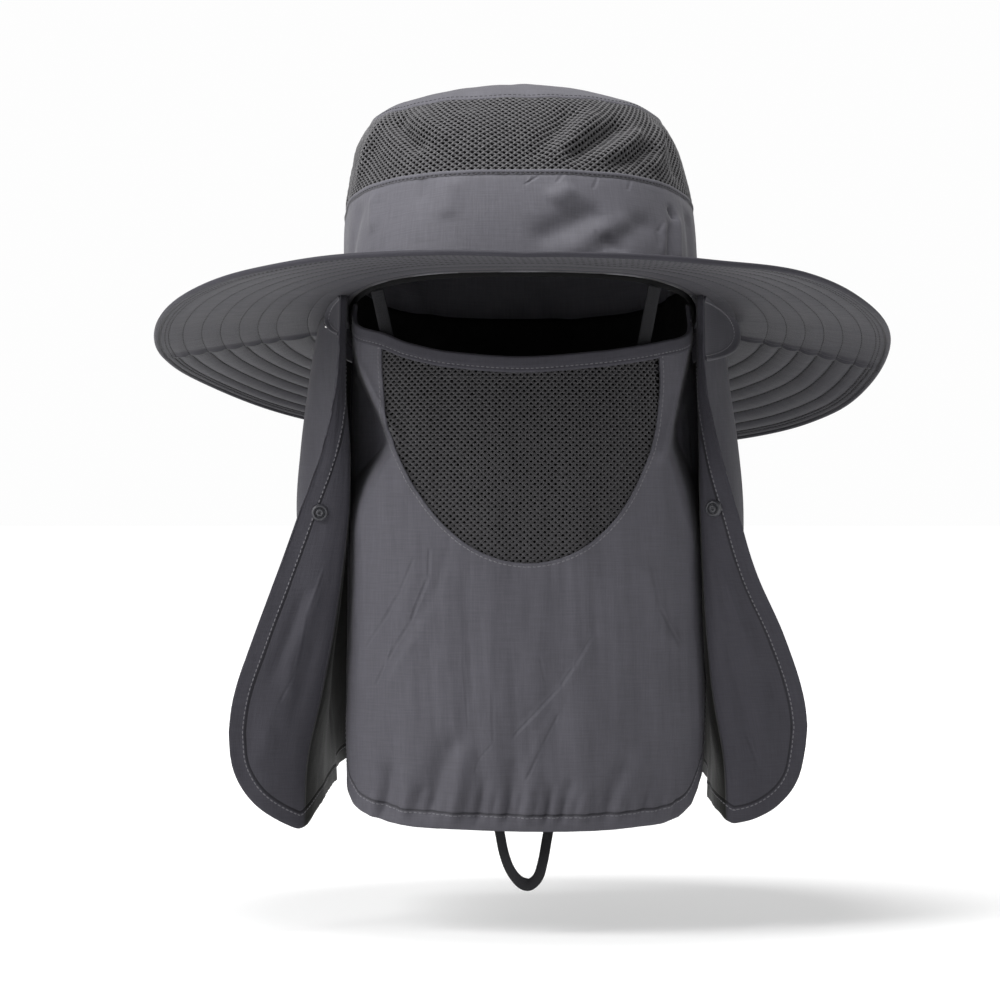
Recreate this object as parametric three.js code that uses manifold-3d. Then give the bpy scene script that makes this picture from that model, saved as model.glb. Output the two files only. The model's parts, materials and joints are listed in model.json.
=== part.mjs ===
// A wide-brimmed bucket hat with a neck flap and a face mask.
// Millimetres, +Z up, -Y to the front. The origin is the middle of the head opening, where the crown
// meets the brim. The crown and brim lean back together; the mask, flap and strap hang straight down.
// A bearing is an angle round the head: 0 at the front, 90 at the +X side, 180 at the back.

import * as THREE from 'three';
import Module from 'manifold-3d';
import { mergeVertices } from 'three/addons/utils/BufferGeometryUtils.js';

const wasm = await Module();
wasm.setup();

// Driving sizes
const LEAN = 11.5; // degrees that the crown's axis leans back
const GAP = 0.3; // between pieces that are sewn or snapped together
const CLOTH = 1.2; // one doubled layer of woven cloth
const NET = 1.0;
const BAND_TOP = 54; // height of the seam between the band and the net
const NET_TOP = 100; // height of the seam between the net and the top panel
const FOOT = -2; // the crown's lower edge
const SWEATBAND_HEIGHT = 30;
const BRIM_HALF_WIDTH = 179.5;
const BRIM_HALF_LENGTH = 197;
const BRIM_THICKNESS = 2;
const BRIM_SEAM = 8; // degrees that the brim's side seams lie behind the sides
const BRIM_BEND = 1.2; // how much later than a straight cone the brim falls away
const MASK_BAND = 7.4; // height of the folded band on the mask
const SNAP_RADIUS = 4.4;
const SNAP_THICKNESS = 1.5;
const STRAP_WIDTH = 6;
const STRAP_THICKNESS = 1.4;

const CROWN_COLUMNS = 40;
const BRIM_COLUMNS = 26;

// Crown sections from the foot to the top. `square` is the exponent of the plan's rounded oval,
// `frontDip` how much lower the section runs at the front than at the sides, and `shift` how far the
// section has slumped sideways.
const CROWN = [
  { rise: FOOT, halfWidth: 86.5, front: 103, back: 104, square: 3.0, frontDip: 0, shift: 0 },
  { rise: 25, halfWidth: 86.8, front: 101, back: 103, square: 2.7, frontDip: 0, shift: 0 },
  { rise: BAND_TOP, halfWidth: 85.4, front: 97, back: 100, square: 2.4, frontDip: 4, shift: -1 },
  { rise: 70, halfWidth: 82, front: 93, back: 96, square: 2.4, frontDip: 5, shift: -1.8 },
  { rise: 86, halfWidth: 78.2, front: 87, back: 90, square: 2.3, frontDip: 7, shift: -2.8 },
  { rise: NET_TOP, halfWidth: 69, front: 76, back: 79, square: 2.2, frontDip: 7.5, shift: -2.8 },
  { rise: 108, halfWidth: 52, front: 58, back: 60, square: 2.1, frontDip: 4, shift: -2 },
  { rise: 113.5, halfWidth: 28, front: 33, back: 35, square: 2.1, frontDip: 1, shift: -1 },
  { rise: 115.5, halfWidth: 0, front: 0, back: 0, square: 2, frontDip: 0, shift: 0 },
];

// How far the brim's edge lies below the head opening, round the compass
const BRIM_DROP = [
  { bearing: 0, drop: 18.2 },
  { bearing: 26, drop: 15.5 },
  { bearing: 43, drop: 11.5 },
  { bearing: 60, drop: 12.5 },
  { bearing: 90, drop: 15 },
  { bearing: 118, drop: 24.5 },
  { bearing: 142, drop: 25 },
  { bearing: 180, drop: 19 },
  { bearing: 220, drop: 13.5 },
  { bearing: 243, drop: 10.2 },
  { bearing: 270, drop: 11.5 },
  { bearing: 300, drop: 10 },
  { bearing: 329, drop: 12.5 },
  { bearing: 360, drop: 18.2 },
];

// Mask sections by their drop below the head opening. Each is a C in plan: half width on each side,
// how far forward its middle lies, and how far forward its side edges lie.
const MASK = [
  { drop: -10, left: 79.6, right: 78.4, front: 98, edge: 52 },
  { drop: 30, left: 82, right: 82.6, front: 99, edge: 50 },
  { drop: 120, left: 83, right: 85.5, front: 97, edge: 47 },
  { drop: 190, left: 84.6, right: 87, front: 95, edge: 46 },
  { drop: 245, left: 83.5, right: 86, front: 93, edge: 46 },
];
const MASK_SQUARE = 2.3;

// The mask's top and bottom edges, as drops below the head opening
const MASK_EDGE = [
  { bearing: -90, top: -7.9, bottom: 206 },
  { bearing: -84, top: 0, bottom: 218.5 },
  { bearing: -76, top: 4, bottom: 230.5 },
  { bearing: -65, top: 7.2, bottom: 236.3 },
  { bearing: -54, top: 12.3, bottom: 239 },
  { bearing: -37, top: 16.6, bottom: 240 },
  { bearing: 0, top: 19, bottom: 241 },
  { bearing: 37, top: 16.5, bottom: 240.8 },
  { bearing: 54, top: 13.7, bottom: 239.3 },
  { bearing: 65, top: 11, bottom: 237 },
  { bearing: 76, top: 8, bottom: 228.5 },
  { bearing: 84, top: 3, bottom: 214 },
  { bearing: 90, top: -7.6, bottom: 204 },
];

// The U of the net window: half width and middle across, how far its bottom lies to the right, and
// its top and bottom drops
const WINDOW = { halfWidth: 67.2, middle: -1, lean: 3.5, top: 5, level: 14, bottom: 115.5, square: 2.05 };

// Neck flap sections by their drop, as distances out from the middle and, in the Y columns, places
// along Y. `edge` is the flap's front edge, `fold` where the front turns out, `side` the widest place
// and `turn` the rounding towards the back.
const FLAP_LEFT = [
  { drop: -12, edge: 86.4, edgeY: -62.5, fold: 84, foldY: -60, side: 97, sideY: -2, turn: 75, turnY: 83.5 },
  { drop: 30, edge: 88.3, edgeY: -71, fold: 84.4, foldY: -65, side: 104, sideY: -2, turn: 78.4, turnY: 83 },
  { drop: 60, edge: 94.3, edgeY: -74, fold: 82.6, foldY: -68, side: 108, sideY: -2, turn: 79, turnY: 78 },
  { drop: 90, edge: 105, edgeY: -74, fold: 83, foldY: -69, side: 110, sideY: 0, turn: 80, turnY: 78 },
  { drop: 120, edge: 115.8, edgeY: -75, fold: 86.3, foldY: -69, side: 107, sideY: 0, turn: 80, turnY: 80 },
  { drop: 150, edge: 126.8, edgeY: -77, fold: 91, foldY: -68, side: 101, sideY: 0, turn: 82, turnY: 82 },
  { drop: 180, edge: 136.6, edgeY: -78, fold: 96.8, foldY: -66, side: 96, sideY: 0, turn: 84, turnY: 84 },
  { drop: 210, edge: 139.3, edgeY: -78, fold: 103.3, foldY: -65, side: 93, sideY: 0, turn: 86, turnY: 86 },
  { drop: 245, edge: 140.3, edgeY: -77, fold: 105, foldY: -64, side: 91, sideY: 0, turn: 87, turnY: 88 },
];
const FLAP_RIGHT = [
  { drop: -12, edge: 85.6, edgeY: -62.5, fold: 83.2, foldY: -60, side: 97, sideY: -2, turn: 75, turnY: 83.5 },
  { drop: 30, edge: 86.3, edgeY: -71, fold: 83.2, foldY: -65, side: 101, sideY: -2, turn: 78, turnY: 83 },
  { drop: 60, edge: 92.5, edgeY: -74, fold: 84, foldY: -68, side: 105, sideY: -2, turn: 78, turnY: 78 },
  { drop: 90, edge: 101, edgeY: -74, fold: 84.6, foldY: -69, side: 108, sideY: 0, turn: 80, turnY: 78 },
  { drop: 120, edge: 110.3, edgeY: -71, fold: 86, foldY: -69, side: 107, sideY: 0, turn: 80, turnY: 80 },
  { drop: 150, edge: 123.7, edgeY: -67, fold: 88, foldY: -68, side: 101, sideY: 0, turn: 82, turnY: 82 },
  { drop: 180, edge: 133.5, edgeY: -62, fold: 91.3, foldY: -66, side: 96, sideY: 0, turn: 84, turnY: 84 },
  { drop: 210, edge: 136, edgeY: -58, fold: 96.5, foldY: -65, side: 93, sideY: 0, turn: 86, turnY: 86 },
  { drop: 245, edge: 136.5, edgeY: -56, fold: 98, foldY: -64, side: 91, sideY: 0, turn: 87, turnY: 88 },
];
const FLAP_BACK = [
  { drop: 10, reach: 111 },
  { drop: 60, reach: 107 },
  { drop: 130, reach: 105 },
  { drop: 245, reach: 110 },
];

// The flap's hem, by the station along the flap: 0 is the left front edge, 1 the left fold, 2 the left
// side, 3 the left turn, 4 the back, and so on to 8, the right front edge
const FLAP_HEM = [
  { station: 0, drop: 196 },
  { station: 0.04, drop: 208 },
  { station: 0.14, drop: 218.3 },
  { station: 0.32, drop: 228.3 },
  { station: 0.56, drop: 235.6 },
  { station: 0.9, drop: 241.5 },
  { station: 1.03, drop: 241 },
  { station: 1.15, drop: 237.3 },
  { station: 1.3, drop: 232.6 },
  { station: 1.6, drop: 227.3 },
  { station: 2, drop: 224 },
  { station: 2.5, drop: 224 },
  { station: 3, drop: 217 },
  { station: 4, drop: 215 },
  { station: 5, drop: 222 },
  { station: 5.5, drop: 229 },
  { station: 6, drop: 232 },
  { station: 6.6, drop: 232 },
  { station: 6.85, drop: 235 },
  { station: 6.97, drop: 238 },
  { station: 7.1, drop: 239.2 },
  { station: 7.44, drop: 236 },
  { station: 7.7, drop: 228.5 },
  { station: 7.88, drop: 217.5 },
  { station: 7.96, drop: 205 },
  { station: 8, drop: 194 },
];

// The chin strap's route, from the left side of the crown's foot down behind the mask and up again
const STRAP = [
  { x: -68.6, z: 12.6, forward: 78.4 },
  { x: -61.4, z: -20, forward: 77 },
  { x: -54.2, z: -52, forward: 77 },
  { x: -46.8, z: -84, forward: 77 },
  { x: -39.4, z: -116, forward: 77 },
  { x: -32, z: -148, forward: 78 },
  { x: -24.6, z: -181, forward: 78 },
  { x: -17.4, z: -213, forward: 79 },
  { x: -11, z: -242, forward: 79 },
  { x: -9, z: -252, forward: 79 },
  { x: -6, z: -260, forward: 79 },
  { x: -1.5, z: -265.6, forward: 79 },
  { x: 3, z: -267, forward: 79 },
  { x: 7, z: -263.6, forward: 79 },
  { x: 9.4, z: -256, forward: 79 },
  { x: 11.2, z: -246, forward: 79 },
  { x: 17, z: -215, forward: 79 },
  { x: 24.2, z: -180, forward: 79 },
  { x: 31.6, z: -144, forward: 79 },
  { x: 39, z: -108, forward: 79.5 },
  { x: 46, z: -70, forward: 80 },
  { x: 52.4, z: -36, forward: 81 },
  { x: 57.6, z: -8, forward: 83 },
  { x: 61.8, z: 14.2, forward: 86.2 },
];

// The stitched tabs that the flap's top corners snap to: the stretch of the flap that each covers, by
// station, how far it hangs below the brim, and the station of its snap
const TABS = {
  left: { from: 1.36, to: 1.72, height: 15, snap: 1.47 },
  right: { from: 6.62, to: 6.14, height: 21, snap: 6.53 },
};
const TAB_STANDOFF = 3.7; // from the flap's middle surface to the tab's
const LAPEL_SNAPS = {
  left: { station: 0.43, drop: 92 },
  right: { station: 7.43, drop: 90 },
};

const radians = THREE.MathUtils.degToRad;

// Reads a table as a smooth curve: the column `wanted`, where the column `along` (which grows from row
// to row) has the value `at`. Each row's slope is that of the line between its two neighbours.
function read(rows, along, wanted, at) {
  const last = rows.length - 1;
  const x = THREE.MathUtils.clamp(at, rows[0][along], rows[last][along]);
  let i = 0;
  while (i < last - 1 && x > rows[i + 1][along]) i += 1;
  const slope = (k) => {
    const before = rows[Math.max(k - 1, 0)];
    const after = rows[Math.min(k + 1, last)];
    return (after[wanted] - before[wanted]) / (after[along] - before[along]);
  };
  const step = rows[i + 1][along] - rows[i][along];
  const t = (x - rows[i][along]) / step;
  const start = rows[i][wanted] * (1 + 2 * t) + slope(i) * step * t;
  const end = rows[i + 1][wanted] * (3 - 2 * t) - slope(i + 1) * step * (1 - t);
  return start * (1 - t) ** 2 + end * t ** 2;
}

// Distance from the middle to a rounded oval in plan, at a bearing
function ovalRadius(bearing, halfWidth, halfLength, square) {
  const across = Math.abs(Math.sin(radians(bearing))) / halfWidth;
  const along = Math.abs(Math.cos(radians(bearing))) / halfLength;
  return (across ** square + along ** square) ** (-1 / square);
}

function atBearing(bearing, radius, z) {
  return new THREE.Vector3(radius * Math.sin(radians(bearing)), -radius * Math.cos(radians(bearing)), z);
}

// A closed wall between two faces that follow one surface. `surface(u, v)` gives its point at the
// fractions u and v, and the two offsets move along its normal. A ring joins its first and last
// columns, and a pole closes the last row to one point.
function wall(surface, offsets, us, vs, { ring = false, pole = false } = {}) {
  const small = 1e-3;
  const normal = (u, v) => {
    const v0 = Math.min(v, pole ? 1 - 3 * small : 1);
    const du = surface(u + small, v0).sub(surface(u - small, v0));
    const dv = surface(u, v0 + small).sub(surface(u, v0 - small));
    return du.cross(dv).normalize();
  };
  const points = [];
  const columns = ring ? us.length - 1 : us.length;
  for (const offset of offsets) {
    for (const v of vs) {
      for (let c = 0; c < columns; c += 1) {
        const across = pole && v === 1 ? new THREE.Vector3(0, 0, 1) : normal(us[c], v);
        points.push(surface(us[c], v).addScaledVector(across, offset));
      }
    }
  }
  const face = columns * vs.length;
  const at = (side, r, c) => side * face + r * columns + (c % columns);
  const triangles = [];
  const quad = (a, b, c, d) => triangles.push(a, b, c, a, c, d);
  for (let r = 0; r < vs.length - 1; r += 1) {
    for (let c = 0; c < us.length - 1; c += 1) {
      quad(at(0, r, c), at(0, r, c + 1), at(0, r + 1, c + 1), at(0, r + 1, c));
      quad(at(1, r, c), at(1, r + 1, c), at(1, r + 1, c + 1), at(1, r, c + 1));
    }
  }
  const top = vs.length - 1;
  for (let c = 0; c < us.length - 1; c += 1) {
    quad(at(1, 0, c), at(1, 0, c + 1), at(0, 0, c + 1), at(0, 0, c));
    if (!pole) quad(at(0, top, c), at(0, top, c + 1), at(1, top, c + 1), at(1, top, c));
  }
  const end = us.length - 1;
  for (let r = 0; r < top && !ring; r += 1) {
    quad(at(0, r, 0), at(0, r + 1, 0), at(1, r + 1, 0), at(1, r, 0));
    quad(at(1, r, end), at(1, r + 1, end), at(0, r + 1, end), at(0, r, end));
  }
  return closedGeometry(points, triangles);
}

// Welds the points, leaves out the triangles that have no area, and turns the faces outwards
function closedGeometry(points, triangles) {
  const loose = new THREE.BufferGeometry().setFromPoints(points);
  loose.setIndex(triangles);
  const welded = mergeVertices(loose, 1e-3);
  const kept = [];
  const index = welded.index.array;
  for (let i = 0; i < index.length; i += 3) {
    const [a, b, c] = [index[i], index[i + 1], index[i + 2]];
    if (a !== b && b !== c && a !== c) kept.push(a, b, c);
  }
  const corner = (i) => new THREE.Vector3().fromBufferAttribute(welded.attributes.position, i);
  let volume = 0;
  for (let i = 0; i < kept.length; i += 3) {
    volume += corner(kept[i]).dot(corner(kept[i + 1]).cross(corner(kept[i + 2])));
  }
  if (volume < 0) kept.reverse();
  welded.setIndex(kept);
  return welded;
}

function steps(from, to, count) {
  return Array.from({ length: count + 1 }, (_, i) => from + ((to - from) * i) / count);
}

function solid(geometry) {
  const bare = new THREE.BufferGeometry().setAttribute('position', geometry.attributes.position);
  if (geometry.index) bare.setIndex(geometry.index);
  const merged = mergeVertices(bare, 1e-3);
  return new wasm.Manifold(
    new wasm.Mesh({
      numProp: 3,
      vertProperties: merged.attributes.position.array,
      triVerts: new Uint32Array(merged.index.array),
    }),
  );
}

function geometryOf(manifold) {
  const { vertProperties, triVerts } = manifold.getMesh();
  const geometry = new THREE.BufferGeometry();
  geometry.setAttribute('position', new THREE.BufferAttribute(new Float32Array(vertProperties), 3));
  geometry.setIndex(new THREE.BufferAttribute(new Uint32Array(triVerts), 1));
  return geometry;
}

function piece(name, geometry, color, roughness = 0.9, metalness = 0) {
  const mesh = new THREE.Mesh(geometry, new THREE.MeshStandardMaterial({ color, roughness, metalness }));
  mesh.name = name;
  return mesh;
}

// The crown's outer face: `girth` is the distance up its side, over all of its sections
const crownRows = CROWN.map((row) => ({ ...row, girth: 0 }));
for (let i = 1; i < crownRows.length; i += 1) {
  const below = crownRows[i - 1];
  const rise = crownRows[i].rise - below.rise;
  crownRows[i].girth = below.girth + Math.hypot(rise, crownRows[i].halfWidth - below.halfWidth);
}
const girthAt = (rise) => crownRows.find((row) => row.rise === rise).girth;
const CROWN_GIRTH = crownRows.at(-1).girth;

function crownPoint(bearing, girth) {
  const value = (column) => read(crownRows, 'girth', column, girth);
  const forward = Math.cos(radians(bearing));
  const halfWidth = Math.max(value('halfWidth'), 0);
  const halfLength = Math.max(value(forward > 0 ? 'front' : 'back'), 0);
  const radius = halfWidth > 0 ? ovalRadius(bearing, halfWidth, halfLength, value('square')) : 0;
  const dip = value('frontDip') * Math.max(forward, 0) ** 2;
  const point = atBearing(bearing, radius, value('rise') - dip);
  point.x += value('shift');
  return point;
}

function crownWall(from, to, rows, inner, outer, pole = false) {
  const surface = (u, v) => crownPoint(u * 360, from + (to - from) * v);
  const us = steps(0, 1, CROWN_COLUMNS);
  return wall(surface, [-outer, -inner], us, steps(0, 1, rows), { ring: true, pole });
}

function crownPieces() {
  const band = girthAt(BAND_TOP);
  const net = girthAt(NET_TOP);
  const half = GAP / 2;
  const sweatbandFace = CLOTH + GAP;
  return [
    piece('crown_band', crownWall(0, band - half, 4, 0, CLOTH), 0x6b6a70),
    piece('crown_mesh', crownWall(band + half, net - half, 4, 0, NET), 0x4a4a4d),
    piece('crown_top', crownWall(net + half, CROWN_GIRTH, 5, 0, CLOTH, true), 0x7a797f),
    piece(
      'sweatband',
      crownWall(0, SWEATBAND_HEIGHT, 2, sweatbandFace, sweatbandFace + CLOTH),
      0x3c3c40,
    ),
  ];
}

// The brim's underside, from its seam with the crown (`out` 0) to its edge (`out` 1)
function brimReach(bearing) {
  const foot = CROWN[0];
  const front = Math.cos(radians(bearing)) > 0;
  const inner = ovalRadius(bearing, foot.halfWidth, front ? foot.front : foot.back, foot.square) + 1.5 * GAP;
  const outer = ovalRadius(bearing, BRIM_HALF_WIDTH, BRIM_HALF_LENGTH, 2);
  return { inner, outer };
}

function brimHeight(bearing, out) {
  const turn = ((bearing % 360) + 360) % 360;
  return -read(BRIM_DROP, 'bearing', 'drop', turn) * Math.max(out, 0) ** BRIM_BEND;
}

function brimPoint(bearing, out) {
  const { inner, outer } = brimReach(bearing);
  return atBearing(bearing, inner + (outer - inner) * out, brimHeight(bearing, out));
}

// The height of the brim's underside over a place in plan, in the leaning frame
function underBrim(x, y) {
  const [sin, cos] = [Math.sin(radians(LEAN)), Math.cos(radians(LEAN))];
  let height = 0;
  for (let pass = 0; pass < 6; pass += 1) {
    const back = (y - height * sin) / cos;
    const bearing = THREE.MathUtils.radToDeg(Math.atan2(x, -back));
    const { inner, outer } = brimReach(bearing);
    height = brimHeight(bearing, (Math.hypot(x, back) - inner) / (outer - inner));
  }
  return height * cos - ((y - height * sin) / cos) * sin;
}

function brimPiece(name, from, to, color) {
  const edge = 0.1; // degrees kept clear at each seam
  const surface = (u, v) => brimPoint(from + edge + (to - from - 2 * edge) * u, v);
  const geometry = wall(surface, [-BRIM_THICKNESS, 0], steps(0, 1, BRIM_COLUMNS), steps(0, 1, 5));
  return piece(name, geometry, color);
}

// The mask's middle surface at a bearing and a drop
function maskPoint(bearing, drop) {
  const value = (column) => read(MASK, 'drop', column, drop);
  const halfWidth = bearing < 0 ? value('left') : value('right');
  const edge = value('edge');
  const radius = ovalRadius(bearing, halfWidth, value('front') - edge, MASK_SQUARE);
  const point = atBearing(bearing, radius, -drop);
  point.y -= edge;
  return point;
}

function maskWall(topOf, bottomOf, thickness, rows, edge = 0) {
  const surface = (u, v) => {
    const bearing = -90 + edge + (180 - 2 * edge) * u;
    const top = topOf(bearing);
    return maskPoint(bearing, top + (bottomOf(bearing) - top) * v);
  };
  return wall(surface, [-thickness / 2, thickness / 2], steps(0, 1, 24), steps(0, 1, rows));
}

// A prism through the mask with the window's outline, `inset` smaller all round
function windowPrism(inset) {
  const { halfWidth, middle, lean, top, level, bottom, square } = WINDOW;
  const half = halfWidth - inset;
  const deep = bottom - level - inset;
  const outline = new THREE.Shape();
  outline.moveTo(middle - half, -top);
  const turns = steps(0, 180, 28);
  for (const turn of turns) {
    const across = Math.abs(Math.cos(radians(turn))) ** (2 / square) * Math.sign(90 - turn);
    const down = Math.sin(radians(turn)) ** (2 / square);
    outline.lineTo(middle + lean * down - half * across, -level - deep * down);
  }
  outline.lineTo(middle + half, -top);
  const depth = 60;
  const geometry = new THREE.ExtrudeGeometry(outline, { depth, bevelEnabled: false, steps: 1 });
  geometry.rotateX(Math.PI / 2);
  geometry.translate(0, -60, 0);
  return solid(geometry);
}

function maskPieces() {
  const top = (bearing) => read(MASK_EDGE, 'bearing', 'top', bearing);
  const bottom = (bearing) => read(MASK_EDGE, 'bearing', 'bottom', bearing);
  const bandBottom = (bearing) => top(bearing) + MASK_BAND;
  const below = (bearing) => bandBottom(bearing) + 1.5 * GAP;
  const cloth = solid(maskWall(below, bottom, CLOTH, 12));
  const net = solid(maskWall(below, () => WINDOW.bottom + 20, NET, 8, 10));
  return [
    piece('mask_top_band', maskWall(top, bandBottom, 2 * CLOTH, 1), 0x5d5c62),
    piece('mask_mesh', geometryOf(net.intersect(windowPrism(GAP))), 0x3f3f40),
    piece('mask_panel', geometryOf(cloth.subtract(windowPrism(0))), 0x5e5d63),
  ];
}

// The neck flap's middle surface: a smooth curve through its stations at each drop
function flapCurve(drop) {
  const place = (rows, side, column) => {
    const x = side * read(rows, 'drop', column, drop);
    const y = read(rows, 'drop', `${column}Y`, drop);
    return new THREE.Vector3(x, y, -drop);
  };
  const left = ['edge', 'fold', 'side', 'turn'].map((column) => place(FLAP_LEFT, -1, column));
  const right = ['turn', 'side', 'fold', 'edge'].map((column) => place(FLAP_RIGHT, 1, column));
  const back = new THREE.Vector3(0, read(FLAP_BACK, 'drop', 'reach', drop), -drop);
  return new THREE.CatmullRomCurve3([...left, back, ...right], false, 'centripetal');
}

function flapPoint(station, drop) {
  return flapCurve(drop).getPoint(THREE.MathUtils.clamp(station / 8, 0, 1));
}

// The drop of the flap's top edge, a little under the brim
function flapTop(station) {
  let drop = 0;
  for (let pass = 0; pass < 5; pass += 1) {
    const { x, y } = flapPoint(station, drop);
    drop = -underBrim(x, y) + 3 * GAP;
  }
  return drop;
}

// The flap's columns as far as the back: closest where the front turns out
const FLAP_STATIONS = [
  ...[0, 0.04, 0.14, 0.32, 0.56, 0.8, 0.92, 1.02, 1.12, 1.3, 1.6],
  ...[2, 2.33, 2.67, 3, 3.33, 3.67],
];

function flapPiece() {
  const stations = [...FLAP_STATIONS, 4, ...FLAP_STATIONS.map((station) => 8 - station).reverse()];
  const tops = new Map(stations.map((station) => [station, flapTop(station)]));
  const topOf = (station) => {
    const next = stations.findIndex((value) => value >= station - 1e-9);
    const i = Math.max(next, 1);
    const [a, b] = [stations[i - 1], stations[i]];
    const share = (station - a) / (b - a);
    return tops.get(a) + (tops.get(b) - tops.get(a)) * share;
  };
  const surface = (u, v) => {
    const station = THREE.MathUtils.clamp(u * 8, 0, 8);
    const top = topOf(station);
    const hem = read(FLAP_HEM, 'station', 'drop', station);
    return flapPoint(station, top + (hem - top) * v);
  };
  const us = stations.map((station) => station / 8);
  return piece('neck_flap', wall(surface, [-CLOTH / 2, CLOTH / 2], us, steps(0, 1, 14)), 0x55545a);
}

// The flap's outward normal at a place
function flapOutward(station, drop) {
  const small = 0.01;
  const along = flapPoint(station + small, drop).sub(flapPoint(station - small, drop));
  const down = flapPoint(station, drop + 1).sub(flapPoint(station, drop - 1));
  return along.cross(down).normalize();
}

function tabPiece(name, { from, to, height }) {
  const middle = (u, drop) => {
    const station = from + (to - from) * u;
    return flapPoint(station, drop).addScaledVector(flapOutward(station, drop), TAB_STANDOFF);
  };
  const surface = (u, v) => {
    const high = middle(u, 0);
    const top = -underBrim(high.x, high.y) + 2 * GAP;
    const round = 0.4 + 0.6 * Math.sqrt(Math.max(1 - (2 * u - 1) ** 2, 0));
    const point = middle(u, top + height * round * v);
    point.z = -(top + height * round * v);
    return point;
  };
  const geometry = wall(surface, [-CLOTH / 2, CLOTH / 2], steps(0.01, 0.99, 8), steps(0, 1, 3));
  return piece(name, geometry, 0x5c5b61);
}

// A round snap that stands on a face, its flat back to the cloth. The profile runs from the middle of
// the back round the rim to the middle of the stud.
function snapPiece(name, place, axis, profile, color) {
  const outline = profile.map(([radius, height]) => new THREE.Vector2(radius, height));
  const geometry = closedGeometryOf(new THREE.LatheGeometry(outline, 20));
  const mesh = piece(name, geometry, color, 0.45, 0.2);
  mesh.quaternion.setFromUnitVectors(new THREE.Vector3(0, 1, 0), axis);
  mesh.position.copy(place);
  return mesh;
}

function closedGeometryOf(geometry) {
  const position = geometry.attributes.position;
  const points = Array.from({ length: position.count }, (_, i) =>
    new THREE.Vector3().fromBufferAttribute(position, i),
  );
  return closedGeometry(points, Array.from(geometry.index.array));
}

function lapelSnap(name, { station, drop }) {
  const inward = flapOutward(station, drop).negate();
  const place = flapPoint(station, drop).addScaledVector(inward, CLOTH / 2 + 2 * GAP);
  const [r, t] = [SNAP_RADIUS, SNAP_THICKNESS];
  const profile = [[0, 0], [r, 0], [r, 0.6 * t], [0.88 * r, t], [0.7 * r, t], [0.6 * r, 0.5 * t]];
  const stud = [[0.42 * r, 0.5 * t], [0.36 * r, 1.3 * t], [0, 1.3 * t]];
  return snapPiece(name, place, inward, [...profile, ...stud], 0x4a4a4f);
}

function cornerSnap(name, { snap }) {
  const drop = flapTop(snap) + SNAP_RADIUS + 1;
  const outward = flapOutward(snap, drop);
  const place = flapPoint(snap, drop).addScaledVector(outward, CLOTH / 2 + 1.5 * GAP);
  const [r, t] = [SNAP_RADIUS - 0.4, SNAP_THICKNESS];
  const profile = [[0, 0], [r, 0], [r, 0.7 * t], [0.85 * r, t], [0, t]];
  return snapPiece(name, place, outward, profile, 0xb9b9bd);
}

function strapPiece() {
  const points = STRAP.map(({ x, z, forward }) => new THREE.Vector3(x, -forward, z));
  const path = new THREE.CatmullRomCurve3(points, false, 'centripetal');
  const [half, wide, cut] = [STRAP_THICKNESS / 2, STRAP_WIDTH / 2, 0.4];
  const section = new THREE.Shape([
    new THREE.Vector2(half, wide - cut),
    new THREE.Vector2(half - cut, wide),
    new THREE.Vector2(cut - half, wide),
    new THREE.Vector2(-half, wide - cut),
    new THREE.Vector2(-half, cut - wide),
    new THREE.Vector2(cut - half, -wide),
    new THREE.Vector2(half - cut, -wide),
    new THREE.Vector2(half, cut - wide),
  ]);
  return piece('chin_strap', new THREE.ExtrudeGeometry(section, { steps: 60, extrudePath: path }), 0x4c4b50);
}

function build() {
  const part = new THREE.Group();
  const hat = new THREE.Group();
  hat.rotation.x = -radians(LEAN);
  hat.add(...crownPieces());
  hat.add(brimPiece('brim_front', -90 - BRIM_SEAM, 90 + BRIM_SEAM, 0x55545a));
  hat.add(brimPiece('brim_back', 90 + BRIM_SEAM, 270 - BRIM_SEAM, 0x5f5e64));
  part.add(hat);
  part.add(...maskPieces());
  part.add(flapPiece());
  for (const side of ['left', 'right']) {
    part.add(tabPiece(`tab_${side}`, TABS[side]));
    part.add(cornerSnap(`corner_snap_${side}`, TABS[side]));
    part.add(lapelSnap(`lapel_snap_${side}`, LAPEL_SNAPS[side]));
  }
  part.add(strapPiece());
  return part;
}

const group = build();

export default group;
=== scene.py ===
"""Looks of a wide-brimmed bucket hat with a neck flap and a face mask, built over its frame.

Sizes are millimetres in the hat's frame: +Z up, -Y to the front, the origin in the middle of the
head opening. They turn to metres where a mesh is made. A bearing is an angle round the head in
degrees: 0 at the front, 90 at the +X side, 180 at the back. Every cloth surface is a function of
two arrays that returns its middle layer.
"""

import json

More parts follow.
